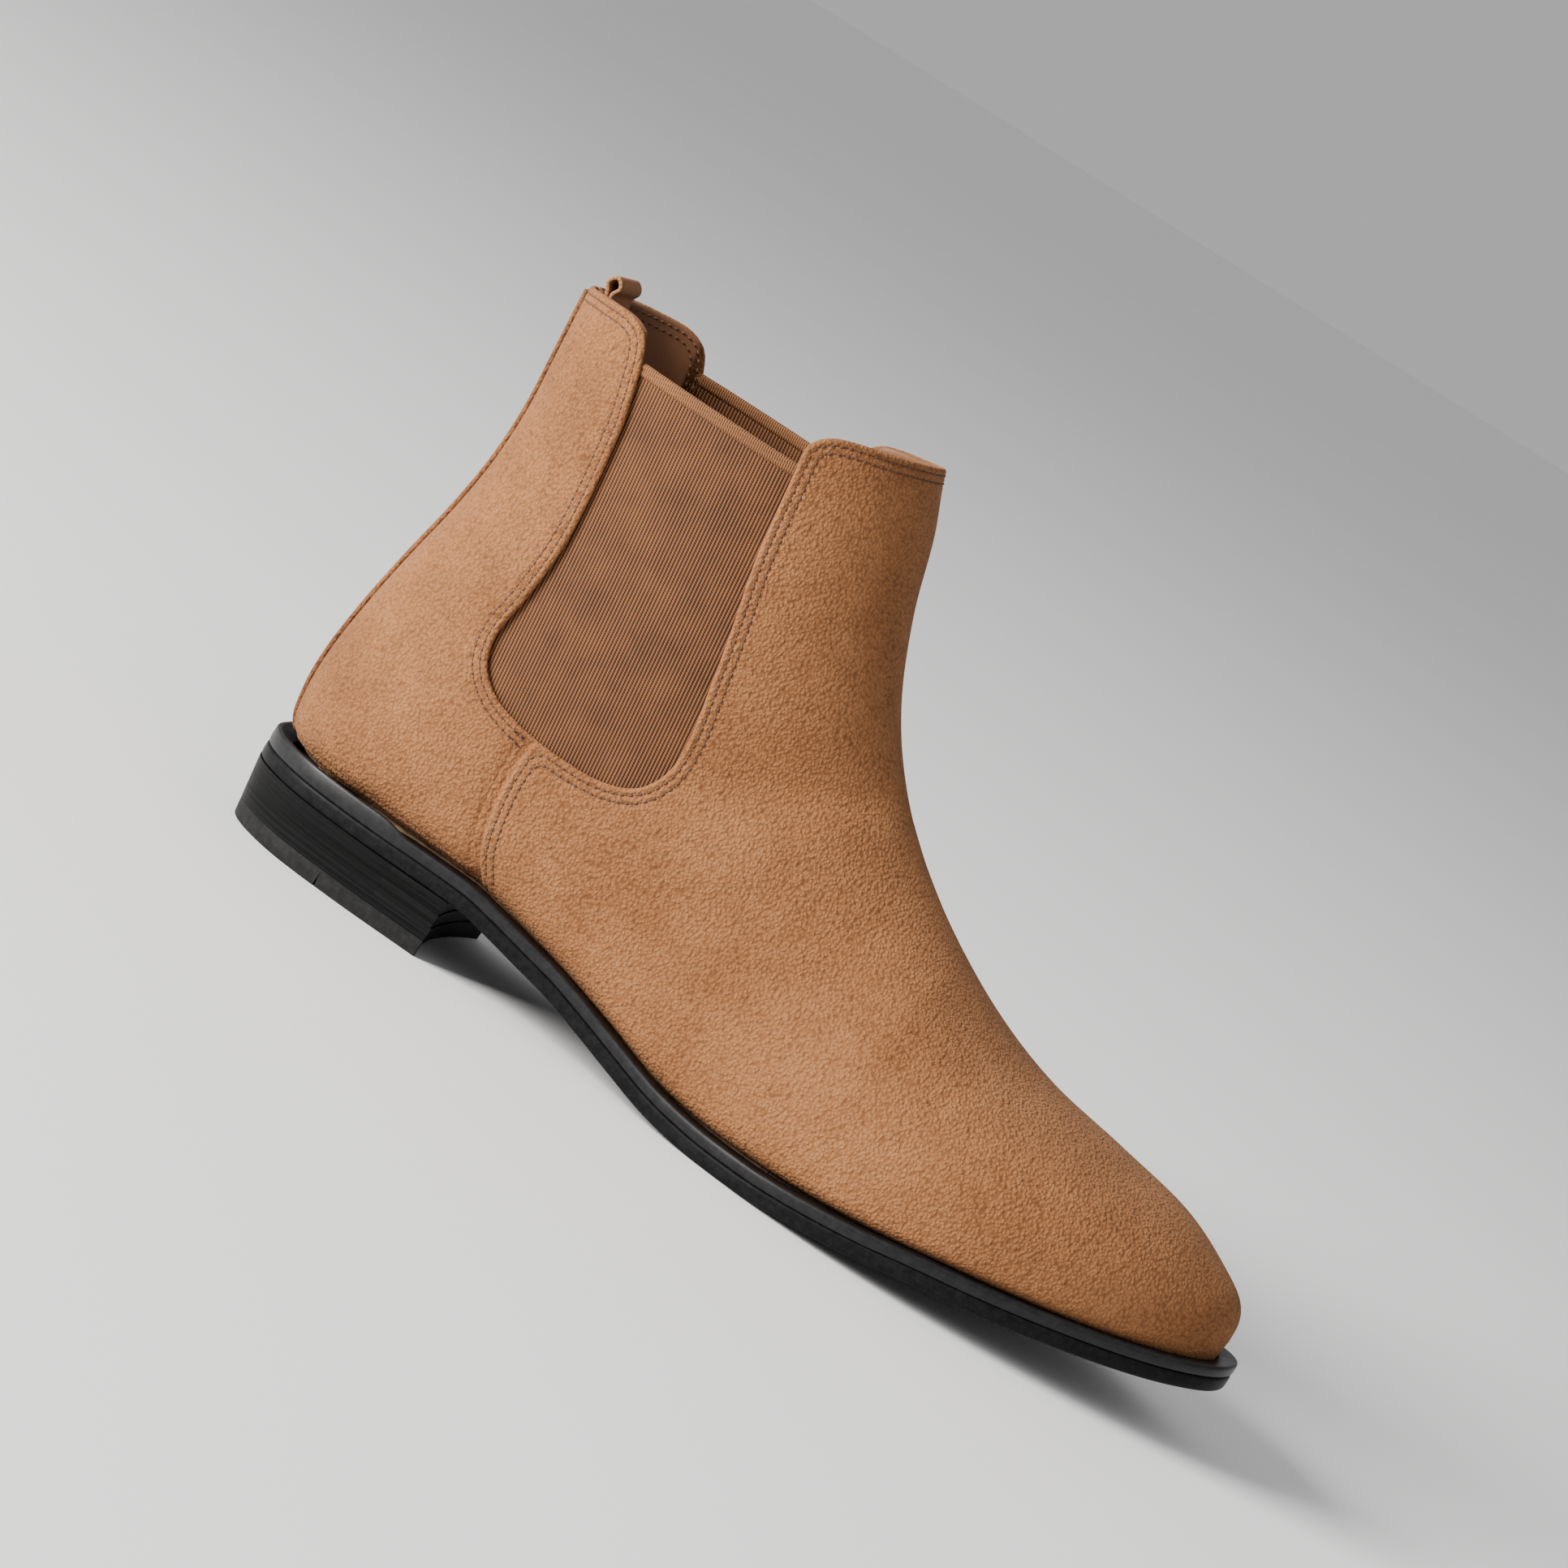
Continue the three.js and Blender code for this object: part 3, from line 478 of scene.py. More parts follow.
def baseGrid(cell):
    dense = np.linspace(0, 3, 1201)
    steps = [np.linalg.norm(np.diff(lastPoint(dense, a), axis=0), axis=1)
             for a in (0, 1.0, -1.0, 2.0, -2.0, 3.1)]
    length = np.concatenate([[0], np.cumsum(np.max(steps, axis=0))])
    turns = np.interp(np.linspace(0, length[-1], int(length[-1] / cell) + 1), length, dense)
    ring = np.linspace(-math.pi, math.pi, 721)
    count = 2 * int(140 / cell)
    rows = []
    for turn in turns:
        points = lastPoint(turn, ring)
        run = np.concatenate([[0], np.cumsum(np.linalg.norm(np.diff(points, axis=0), axis=1))])
        even = np.linspace(-math.pi, math.pi, count + 1)
        rows.append(np.interp(np.linspace(0, run[-1], count + 1), run, ring) if run[-1] > 1 else even)
    angles = np.array(rows)
    domain = np.stack([np.repeat(turns[:, None], count + 1, 1), angles], -1).reshape(-1, 2)
    index = np.arange(len(domain)).reshape(len(turns), count + 1)
    a, b = index[:-1, :-1].ravel(), index[:-1, 1:].ravel()
    c, d = index[1:, 1:].ravel(), index[1:, :-1].ravel()
    faces = np.vstack([np.column_stack([a, b, c]), np.column_stack([a, c, d])])
    return domain, faces


grids = {}


def splitAt(domain, faces, values, others, field, level):
    # cuts every face along the line where the field has that level
    near = values - level
    near[np.abs(near) < 1e-3] = 0
    sign = np.sign(near).astype(int)
    edges = np.sort(np.vstack([faces[:, [0, 1]], faces[:, [1, 2]], faces[:, [2, 0]]]), axis=1)
    edges = edges[sign[edges[:, 0]] * sign[edges[:, 1]] < 0]
    if not len(edges):
        return domain, faces, values, others
    size = len(domain)
    keys = np.unique(edges[:, 0].astype(np.int64) * size + edges[:, 1])
    a, b = keys // size, keys % size
    share = (near[a] / (near[a] - near[b]))[:, None]
    spot = domain[a] + (domain[b] - domain[a]) * share
    got = field(spot) - level
    low = np.where(np.sign(got) == sign[a], share[:, 0], 0)
    high = np.where(np.sign(got) == sign[a], 1, share[:, 0])
    lowValue = np.where(np.sign(got) == sign[a], got, near[a])
    highValue = np.where(np.sign(got) == sign[a], near[b], got)
    share = low + (high - low) * lowValue / np.where(lowValue == highValue, 1, lowValue - highValue)
    spot = domain[a] + (domain[b] - domain[a]) * share[:, None]
    fresh = np.arange(len(keys)) + size
    others = [np.concatenate([o, o[a] + (o[b] - o[a]) * share]) for o in others]
    domain = np.vstack([domain, spot])
    values = np.concatenate([values, np.full(len(keys), float(level))])

    def cutOf(p, q):
        return fresh[np.searchsorted(keys, np.minimum(p, q).astype(np.int64) * size + np.maximum(p, q))]

    out = [faces[~((sign[faces].min(1) < 0) & (sign[faces].max(1) > 0))]]
    mixed = faces[(sign[faces].min(1) < 0) & (sign[faces].max(1) > 0)]
    for k in range(3):
        p, q, r = np.roll(mixed, -k, axis=1).T
        lone = (sign[p] * sign[q] < 0) & (sign[p] * sign[r] < 0)
        p1, q1, r1 = p[lone], q[lone], r[lone]
        pq, pr = cutOf(p1, q1), cutOf(p1, r1)
        out += [np.column_stack([p1, pq, pr]), np.column_stack([pq, q1, r1]), np.column_stack([pq, r1, pr])]
        still = (sign[p] == 0) & (sign[q] * sign[r] < 0)
        p2, q2, r2 = p[still], q[still], r[still]
        qr = cutOf(q2, r2)
        out += [np.column_stack([p2, q2, qr]), np.column_stack([p2, qr, r2])]
    return domain, np.vstack(out), values, others


def compact(domain, faces, *rows):
    used, inverse = np.unique(faces, return_inverse=True)
    return (domain[used], inverse.reshape(faces.shape), *[r[used] for r in rows])


def distanceTo(line, x, z):
    a, b = line[:-1], line[1:]
    run = b - a
    best = np.full(len(x), 1e9)
    for start in range(0, len(x), 4000):
        piece = slice(start, start + 4000)
        dx, dz = x[piece, None] - a[None, :, 0], z[piece, None] - a[None, :, 1]
        t = np.clip((dx * run[:, 0] + dz * run[:, 1]) / (run ** 2).sum(1), 0, 1)
        best[piece] = np.sqrt(((dx - t * run[:, 0]) ** 2 + (dz - t * run[:, 1]) ** 2).min(1))
    return best


def insideOf(outline, x, z):
    a, b = outline, np.roll(outline, -1, axis=0)
    inside = np.zeros(len(x), bool)
    for (ax, az), (bx, bz) in zip(a, b):
        if az != bz:
            hit = ((az > z) != (bz > z)) & (x < (bx - ax) * (z - az) / (bz - az) + ax)
            inside ^= hit
    return inside


def region(outline):
    # distance in side view to the edge of a region, more than 0 inside it
    outline = np.asarray(outline, float)
    closed = np.vstack([outline, outline[:1]])
    return lambda x, z: np.where(insideOf(outline, x, z), 1, -1) * distanceTo(closed, x, z)


def makeMesh(name, points, faces, finish, normals=None, uv=None, smooth=True):
    mesh = bpy.data.meshes.new(name)
    mesh.from_pydata([tuple(p) for p in points], [], [tuple(int(i) for i in f) for f in faces])
    mesh.validate(clean_customdata=False)
    mesh.polygons.foreach_set("use_smooth", [smooth] * len(mesh.polygons))
    if uv is not None:
        layer = mesh.uv_layers.new(name="UVMap")
        corners = np.zeros(len(mesh.loops), int)
        mesh.loops.foreach_get("vertex_index", corners)
        layer.data.foreach_set("uv", uv[corners].ravel())
    mesh.materials.append(finishes[finish])
    item = bpy.data.objects.new(name, mesh)
    bpy.context.scene.collection.objects.link(item)
    if normals is not None:
        mesh.normals_split_custom_set_from_vertices([tuple(n) for n in normals])
    return item


def vertexNormals(points, faces):
    corner = points[faces]
    flat = np.cross(corner[:, 1] - corner[:, 0], corner[:, 2] - corner[:, 0])
    total = np.zeros_like(points)
    for k in range(3):
        np.add.at(total, faces[:, k], flat)
    return total / np.maximum(np.linalg.norm(total, axis=1, keepdims=True), 1e-12)


def foldDepth(values, radius):
    # how far a folded edge rounds inwards, by distance from the edge
    near = np.clip(radius - values, 0, radius)
    return radius - np.sqrt(np.maximum(radius ** 2 - near ** 2, 0))


sheetLevels = (0.04, 0.15, 0.35, 0.62, 1.0)
contours = {}


def cutSheet(name, finish, field, outside, inside, rows=(), cut=None, extra=(), relief=None,
             cell=2.3, weave=None, edgeLevels=sheetLevels):
    # field: distance to the edge from x, y, z; outside, inside: depths of the two faces
    if cell not in grids:
        grids[cell] = baseGrid(cell)
    domain, faces = grids[cell]
    onSheet = lambda d: field(lastPoint(d[:, 0], d[:, 1]))
    cutBy = (lambda d: cut(lastPoint(d[:, 0], d[:, 1]), d[:, 0])) if cut else (lambda d: np.full(len(d), 9.0))
    values, cutValues = onSheet(domain), cutBy(domain)
    keep = (values[faces].max(1) > 0) & (cutValues[faces].max(1) > 0)
    domain, faces, values, cutValues = compact(domain, faces[keep], values, cutValues)
    domain, faces, cutValues, (values,) = splitAt(domain, faces, cutValues, [values], cutBy, 0.0)
    keep = cutValues[faces].mean(1) > 1e-4
    domain, faces, values, cutValues = compact(domain, faces[keep], values, cutValues)
    domain, faces, values, (cutValues,) = splitAt(domain, faces, values, [cutValues], onSheet, 0.0)
    keep = values[faces].mean(1) > 1e-4
    domain, faces, values, cutValues = compact(domain, faces[keep], values, cutValues)
    for level in sorted((*edgeLevels, *rows, *extra)):
        domain, faces, values, (cutValues,) = splitAt(domain, faces, values, [cutValues], onSheet, level)
    # weld the column where the grid closes on itself
    points = lastPoint(domain[:, 0], domain[:, 1])
    key = np.round(points / 0.002).astype(np.int64)
    _, first, back = np.unique(key, axis=0, return_index=True, return_inverse=True)
    back = back.ravel()
    faces = back[faces]
    domain, values, cutValues, points = domain[first], values[first], cutValues[first], points[first]
    faces = faces[(faces[:, 0] != faces[:, 1]) & (faces[:, 1] != faces[:, 2]) & (faces[:, 2] != faces[:, 0])]
    domain, faces, values, cutValues, points = compact(domain, faces, values, cutValues, points)
    normal = lastNormal(domain[:, 0], domain[:, 1])
    flat = np.cross(points[faces[:, 1]] - points[faces[:, 0]], points[faces[:, 2]] - points[faces[:, 0]])
    if (flat * normal[faces[:, 0]]).sum() < 0:
        faces = faces[:, [0, 2, 1]]
    radius = (inside - outside) / 2
    fold = foldDepth(values, radius)
    lift = relief(points, values) if relief else 0
    top = points - normal * (outside + fold + lift * np.clip(values / radius, 0, 1))[:, None]
    low = points - normal * (inside - fold)[:, None]
    middle = points - normal * ((outside + inside) / 2)
    onEdge = values < 1e-6
    top[onEdge] = middle[onEdge]
    count = len(points)
    under = np.arange(count) + count
    under[onEdge] = np.arange(count)[onEdge]
    edges = np.vstack([faces[:, [0, 1]], faces[:, [1, 2]], faces[:, [2, 0]]])
    keys = np.sort(edges, axis=1)
    keys = keys[:, 0].astype(np.int64) * count + keys[:, 1]
    _, firstEdge, uses = np.unique(keys, return_index=True, return_counts=True)
    border = edges[firstEdge[uses == 1]]
    rims = []
    for a, b in border:
        ring = [b, a, under[a], under[b]]
        ring = [v for k, v in enumerate(ring) if v not in ring[:k]]
        if len(ring) > 2:
            rims.append(ring)
    allPoints = np.vstack([top, low])
    sheetFaces = np.vstack([faces, under[faces][:, [0, 2, 1]]])
    shade = vertexNormals(allPoints, sheetFaces)
    flatCut = np.abs(cutValues) < 1e-4
    shade[:count][flatCut & ~onEdge] = normal[flatCut & ~onEdge]
    shade[count:][flatCut & ~onEdge] = -normal[flatCut & ~onEdge]
    uv = None
    if weave:
        uv = weave(allPoints)
    used, back = np.unique(np.concatenate([sheetFaces.ravel(), [v for r in rims for v in r]]).astype(int),
                           return_inverse=True)
    table = np.zeros(2 * count, int)
    table[used] = np.arange(len(used))
    polys = [tuple(f) for f in table[sheetFaces]] + [tuple(table[r]) for r in rims]
    item = makeMesh(name, allPoints[used] * mm, polys, finish, shade[used], uv[used] if weave else None)
    # the lines that stitches follow
    for level in rows:
        onRow = np.abs(values - level) < 1e-6
        run = np.sort(edges[onRow[edges[:, 0]] & onRow[edges[:, 1]]], axis=1)
        run = np.unique(run, axis=0)
        joined = {}
        for a, b in run.tolist():
            joined.setdefault(a, []).append(b)
            joined.setdefault(b, []).append(a)
        done, lines = set(), []
        ends = [v for v, n in joined.items() if len(n) == 1] + list(joined)
        for start in ends:
            if start in done:
                continue
            path = [start]
            done.add(start)
            while True:
                ahead = [v for v in joined[path[-1]] if v not in done]
                if not ahead:
                    break
                path.append(ahead[0])
                done.add(ahead[0])
            if len(path) > 3:
                lines.append((points[path], normal[path]))
        contours[(name, level)] = lines
    print("  ", name, len(polys), "faces")
    return item


# pattern of the upper

goreEdge = spline(places([
    (-37.2, 120), (-36, 90), (-35.2, 79), (-34.6, 70), (-34.3, 61), (-34.7, 53), (-35.3, 45.5),
    (-34.6, 41.5), (-32.6, 38.6), (-29.2, 36.9), (-24.8, 36.3), (-20.6, 36.8), (-17.8, 38.9),
    (-16.4, 42.9), (-16.3, 48.3), (-17.1, 56.4), (-18.1, 65), (-19.5, 75.5), (-20.7, 90),
    (-23.4, 120)]), 110)
quarterTop = spline(places([(-60, 94.2), (-52, 94), (-47, 94), (-43, 94.6), (-39.6, 94.6), (-37.9, 93.2),
                            (-36.9, 90.2), (-36.2, 86.5), (-35.5, 82), (-34.4, 75), (-32, 60)]), 80)
frontTop = spline(places([(-22.5, 60), (-22.2, 75), (-21.8, 84), (-21.4, 89), (-20.95, 92.4), (-20.35, 94.4),
                          (-19.3, 95.8), (-17.6, 96.8), (-14.5, 98), (-9, 100.4), (0, 104), (6, 107)]), 80)
seamLine = spline(places([(-27.4, 36.5), (-27.7, 30.5), (-27.4, 24.5), (-26.6, 18.4), (-25.2, 13.5), (-24, 5),
                          (-23, -6)]), 40)
inGore = region(goreEdge)
belowQuarterTop = region(np.vstack([quarterTop, [(150, 60), (150, -150), (-400, -150),
                                                 (-400, quarterTop[0, 1]), (-300, quarterTop[0, 1])]]))
belowFrontTop = region(np.vstack([frontTop, [(400, frontTop[-1, 1]), (400, -150), (-200, -150), (-200, 105),
                                             (-75, 105)]]))
aheadOfSeam = region(np.vstack([[(float(along(-27.4)), 400)], seamLine,
                                [(float(along(-23)), -200), (400, -200), (400, 400)]]))
upperPattern = {"sink": 1.25, "edgeRows": (1.9, 4.0), "split": 1.3, "lap": 1.0}


def above(p, drop):
    return p[:, 2] - (underside(p[:, 0]) + soleTotal - drop)


def quarterField(side, lap=0.0):
    def at(p):
        x, y, z = p.T
        edge = np.minimum(-inGore(x, z), belowQuarterTop(x, z))
        edge = np.minimum(edge, lap - aheadOfSeam(x, z))
        edge = np.minimum(edge, above(p, 1.2))
        return np.minimum(edge, side * y - 0.12) if side else edge
    return at


def vampField(p):
    x, _, z = p.T
    edge = np.minimum(-inGore(x, z), belowFrontTop(x, z))
    return np.minimum(np.minimum(edge, aheadOfSeam(x, z)), above(p, 1.2))


def quarterRelief(p, values):
    # the quarter dips under the lapped front, and its stitch rows press into the nap
    x, _, z = p.T
    behind = np.clip(-aheadOfSeam(x, z) / 7, 0, 1)
    ease = 1 - behind * behind * (3 - 2 * behind)
    seamOnly = np.clip(-inGore(x, z) / 1.5, 0, 1)
    return upperPattern["sink"] * ease * seamOnly + rowPress(values)


def rowPress(values):
    press = sum(0.16 * np.exp(-((values - row) / 0.42) ** 2) for row in upperPattern["edgeRows"])
    plump = 0.14 * np.exp(-((values - 1.05) / 0.5) ** 2) + 0.1 * np.exp(-((values - 3.25) / 0.6) ** 2)
    return press - plump


def frontRelief(p, values):
    edge = np.minimum(np.minimum(-inGore(p[:, 0], p[:, 2]), belowFrontTop(p[:, 0], p[:, 2])),
                      aheadOfSeam(p[:, 0], p[:, 2]))
    return rowPress(edge)


rowLevels = upperPattern["edgeRows"]
reliefLevels = (1.5, 2.5, 3.3, 4.1, 5.0)

for label, side in (("outer", -1), ("inner", 1)):
    item = cutSheet("quarter_" + label + "_suede", "suede", quarterField(side, upperPattern["lap"]), 0.0,
                    boot["suede"], rows=rowLevels, extra=reliefLevels, relief=quarterRelief)
    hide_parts("quarter_" + label)
    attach(item, "root")


def ahead(p, turn):
    return (upperPattern["split"] - turn) * 30


def behind(p, turn):
    return (turn - upperPattern["split"]) * 30


vampFront = cutSheet("vamp_front_suede", "suede", vampField, 0.0, boot["suede"], rows=rowLevels,
                     extra=reliefLevels, relief=frontRelief, cut=ahead)
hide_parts("vamp_toe")
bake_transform(vampFront)
vampShaft = cutSheet("vamp_shaft_suede", "suede", vampField, 0.0, boot["suede"], rows=rowLevels,
                     extra=reliefLevels, relief=frontRelief, cut=behind)
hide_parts("vamp_instep", "vamp_shaft_front")
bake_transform(vampShaft)
print("suede upper")

# lining

liningPattern = {"cell": 3.4, "goreEdge": 6.3, "floor": 0.5, "topDrop": 0.15}


def liningFieldRear(p):
    x, _, z = p.T
    edge = np.minimum(-inGore(x, z) - liningPattern["goreEdge"],
                      belowQuarterTop(x, z) - liningPattern["topDrop"])
    edge = np.minimum(edge, -0.15 - aheadOfSeam(x, z))
    return np.minimum(edge, above(p, -liningPattern["floor"] - 4))


def liningFieldFront(p):
    x, _, z = p.T
    edge = np.minimum(-inGore(x, z) - liningPattern["goreEdge"],
                      belowFrontTop(x, z) - liningPattern["topDrop"])
    edge = np.minimum(edge, aheadOfSeam(x, z) - 0.15)
    return np.minimum(edge, above(p, -liningPattern["floor"] - 4))


liningLevels = (0.1, 0.4, 0.95)
item = cutSheet("lining_quarters_calf", "lining_leather", liningFieldRear, boot["liningIn"], boot["liningOut"],
                cell=liningPattern["cell"], edgeLevels=liningLevels)
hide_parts("lining_quarters")
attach(item, "root")
item = cutSheet("lining_front_calf", "lining_leather", liningFieldFront, boot["liningIn"], boot["liningOut"],
                cut=ahead, cell=liningPattern["cell"], edgeLevels=liningLevels)
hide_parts("lining_toe")
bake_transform(item)
item = cutSheet("lining_shaft_calf", "lining_leather", liningFieldFront, boot["liningIn"], boot["liningOut"],
                cut=behind, cell=liningPattern["cell"], edgeLevels=liningLevels)
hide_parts("lining_instep", "lining_shaft_front")
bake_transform(item)
print("lining")

# elastic gores and their top tape

gorePattern = {"tuck": 5.0, "top": 164.7, "tape": 3.6, "lean": 0.105}


def goreWeave(p):
    # the ribs run up the gore and fan a little with its two edges
    lean = gorePattern["lean"]
    return np.column_stack([(p[:, 0] + lean * p[:, 2]) * mm, (p[:, 2] - lean * p[:, 0]) * mm])


def goreField(side):
    def at(p):
        x, y, z = p.T
        edge = np.minimum(inGore(x, z) + gorePattern["tuck"],
                          gorePattern["top"] - gorePattern["tape"] + 0.9 - z)
        return np.minimum(edge, side * y - 0.2)
    return at


def tapeField(side):
    def at(p):
        x, y, z = p.T
        edge = np.minimum(inGore(x, z) + gorePattern["tuck"] - 1, gorePattern["top"] - z)
        edge = np.minimum(edge, z - gorePattern["top"] + gorePattern["tape"])
        return np.minimum(edge, side * y - 0.2)
    return at


def tapeRelief(p, values):
    # a rolled top edge over a flat lower half
    down = gorePattern["top"] - p[:, 2]
    return 0.42 * np.exp(-((down - 1.75) / 0.33) ** 2) - 0.18 * np.exp(-((down - 0.8) / 0.5) ** 2)


for label, side in (("outer", -1), ("inner", 1)):
    item = cutSheet("gore_" + label + "_elastic", "elastic", goreField(side), 2.0, 3.2, weave=goreWeave,
                    edgeLevels=(0.1, 0.3, 0.6))
    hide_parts("gore_" + label)
    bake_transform(item)
    item = cutSheet("gore_tape_" + label, "gore_binding", tapeField(side), 1.3, 3.8, weave=goreWeave,
                    edgeLevels=(0.1, 0.3, 0.6, 0.9, 1.25), extra=(1.4, 1.6), relief=tapeRelief)
    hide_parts("gore_binding_" + label)
    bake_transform(item)
print("elastic gores")

# stitching

stitchPattern = {"pitch": 2.45, "length": 1.62, "radius": 0.33, "proud": 0.04}


def oneStitch():
    # a short thread that dives into the suede at both ends
    bpy.ops.object.select_all(action="DESELECT")
    bpy.ops.mesh.primitive_cylinder_add(vertices=6, radius=stitchPattern["radius"], depth=stitchPattern["length"],
                                        end_fill_type="TRIFAN", rotation=(0, math.pi / 2, 0))
    bpy.ops.object.transform_apply(location=True, rotation=True, scale=True)
    item = bpy.context.object
    bpy.ops.object.mode_set(mode="EDIT")
    bpy.ops.mesh.select_all(action="SELECT")
    half = stitchPattern["length"] / 2
    for spot in (-half * 0.55, 0, half * 0.55):
        bpy.ops.mesh.select_all(action="SELECT")
        bpy.ops.mesh.bisect(plane_co=(spot, 0, 0), plane_no=(1, 0, 0))
    bpy.ops.object.mode_set(mode="OBJECT")
    for vertex in item.data.vertices:
        t = abs(vertex.co.x) / half
        thin = 1 - 0.35 * t ** 3
        vertex.co.y *= thin
        vertex.co.z = vertex.co.z * thin - 0.42 * t ** 3
    points = np.array([v.co for v in item.data.vertices])
    polys = [tuple(p.vertices) for p in item.data.polygons]
    bpy.data.objects.remove(item)
    return points, polys


stitchPoints, stitchFaces = oneStitch()


def stitchRow(lines, keep, depth, facing=1, pitch=None):
    # one stitch every pitch along each line, turned to the line and the surface
    pitch = pitch or stitchPattern["pitch"]
    spots = []
    for points, normals in lines:
        run = np.concatenate([[0], np.cumsum(np.linalg.norm(np.diff(points, axis=0), axis=1))])
        count = int(run[-1] / pitch)
        if count < 2:
            continue
        for centre in (np.arange(count) + 0.5) * run[-1] / count:
            a, b = (np.array([np.interp(centre + k, run, points[:, j]) for j in range(3)])
                    for k in (-0.7, 0.7))
            normal = np.array([np.interp(centre, run, normals[:, j]) for j in range(3)])
            middle = (a + b) / 2
            if not keep(middle) or np.linalg.norm(b - a) < 0.6:
                continue
            normal /= np.linalg.norm(normal)
            out = normal * facing
            tangent = b - a
            tangent -= out * (tangent @ out)
            tangent /= np.linalg.norm(tangent)
            sideways = np.cross(out, tangent)
            base = middle - normal * depth + out * stitchPattern["proud"]
            spots.append((base, tangent, sideways, out))
    return spots


def sewn(name, finish, spots):
    points, polys = [], []
    for k, (base, tangent, sideways, out) in enumerate(spots):
        points.append(base + stitchPoints @ np.array([tangent, sideways, out]))
        polys += [tuple(i + k * len(stitchPoints) for i in f) for f in stitchFaces]
    return makeMesh(name, np.vstack(points) * mm, polys, finish)


def needleHoleShade(name, spots):
    # dark plugs painted as the shade in the hollow between one stitch and the next
    points, polys = [], []
    turns = np.linspace(0, 2 * math.pi, 9)[:-1]
    ring = np.array([(math.cos(a) * 0.46, math.sin(a) * 0.27, 0.0) for a in turns])
    shape = np.vstack([ring + (0, 0, -0.22), ring * (0.8, 0.75, 1) + (0, 0, 0.035)])
    sides = [(i, (i + 1) % 8, 8 + (i + 1) % 8, 8 + i) for i in range(8)]
    sides += [tuple(range(7, -1, -1)), tuple(range(8, 16))]
    for k, (base, tangent, sideways, out) in enumerate(spots):
        middle = base + tangent * stitchPattern["pitch"] / 2 - out * stitchPattern["proud"]
        points.append(middle + shape @ np.array([tangent, sideways, out]))
        polys += [tuple(i + k * 16 for i in f) for f in sides]
    return makeMesh(name, np.vstack(points) * mm, polys, "needle_hole", smooth=False)


def quarterSewn(middle):
    x, z = np.array([middle[0]]), np.array([middle[2]])
    onSeam = aheadOfSeam(x, z)[0] > -5.5 and inGore(x, z)[0] < -5
    return (aheadOfSeam(x, z)[0] < -1.5 and not onSeam and above(middle[None], 0)[0] > 6
            and abs(middle[1]) > 3.5)


def frontSewn(middle):
    return above(middle[None], 0)[0] > 3.5


quarterSpots, frontSpots, frontToeSpots, insideSpots = [], [], [], []
for level in rowLevels:
    for label in ("outer", "inner"):
        lines = contours[("quarter_" + label + "_suede", level)]
        quarterSpots += stitchRow(lines, quarterSewn, 0.12)
        insideSpots += stitchRow(lines, lambda m: quarterSewn(m) and m[2] > 118, boot["liningOut"] + 0.02, -1)
    frontSpots += stitchRow(contours[("vamp_shaft_suede", level)], frontSewn, 0.12)
    frontToeSpots += stitchRow(contours[("vamp_shaft_suede", level)],
                               lambda m: m[2] > 172, boot["liningOut"] + 0.02, -1)
item = sewn("stitching_quarters", "thread_tan", quarterSpots)
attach(item, "root")
item = sewn("stitching_quarters_inside", "thread_brown", insideSpots)
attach(item, "root")
item = sewn("stitching_front", "thread_tan", frontSpots)
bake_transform(item)
# dark plugs of painted shade at the needle holes
item = needleHoleShade("needle_hole_shade_quarters", quarterSpots)
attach(item, "root")
item = needleHoleShade("needle_hole_shade_front", frontSpots)
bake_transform(item)
item = sewn("stitching_front_inside", "thread_brown", frontToeSpots)
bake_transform(item)
print("stitching", len(quarterSpots) + len(frontSpots) + len(insideSpots) + len(frontToeSpots))

# strip up the back

strip = {"width": 13.0, "low": 27.5, "high": 170.2, "rows": 92, "across": 12, "outside": -1.35,
         "inside": 0.25, "rough": 0.12}


def makeStrip():
    rows, cols = strip["rows"], strip["across"]
    heights = np.linspace(strip["low"], strip["high"], rows + 1)
    middleX = np.interp(heights, lowLine[-400:, 1], lowLine[-400:, 0])
    turn, _ = lastPlace(middleX, heights, 1)
    half = strip["width"] / 2
    ring = []
    acrossStrip = np.linspace(-half, half, cols + 1)
    for k, y in enumerate(np.concatenate([acrossStrip, acrossStrip[::-1]])):
        outer = k <= cols
        edge = 1 - abs(y) / half
        round_ = 0.5 * (1 - min(edge / 0.16, 1)) ** 2
        wave = strip["rough"] * np.sin(heights * 2.7 + k) * np.cos(heights * 1.13 + 2 * k) * (edge < 0.05)
        width = np.where(y < 0, across(outerWidth(turn)), across(innerWidth(turn)))
        reach = np.minimum(np.abs(y + wave), width * 0.98)
        size = math.pi - np.arcsin(np.clip((reach / width) ** (lowPower(turn) / 2), 0, 1))
        angle = np.where(y < 0, -size, size)
        depth = strip["outside"] + round_ if outer else strip["inside"] - round_ * 0.3
        ring.append(lastPoint(turn, angle) - lastNormal(turn, angle) * depth)
    ring = np.array(ring)
    count = len(ring)
    index = np.arange(count * (rows + 1)).reshape(count, rows + 1)
    polys = []
    for k in range(count):
        nxt = (k + 1) % count
        for r in range(rows):
            polys.append((index[k, r], index[k, r + 1], index[nxt, r + 1], index[nxt, r]))
    polys.append(tuple(index[:, 0]))
    polys.append(tuple(index[::-1, rows]))
    item = makeMesh("back_strip_suede", ring.reshape(-1, 3) * mm, polys, "suede_strip")
    return item


def outwards(item):
    # faces turned to point out of a closed piece
    work = bmesh.new()
    work.from_mesh(item.data)
    bmesh.ops.remove_doubles(work, verts=work.verts, dist=1e-7)
    bmesh.ops.recalc_face_normals(work, faces=work.faces)
    work.to_mesh(item.data)
    work.free()
    return item


item = outwards(makeStrip())
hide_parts("back_strip")
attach(item, "root")
print("back strip")

# outsole and welt

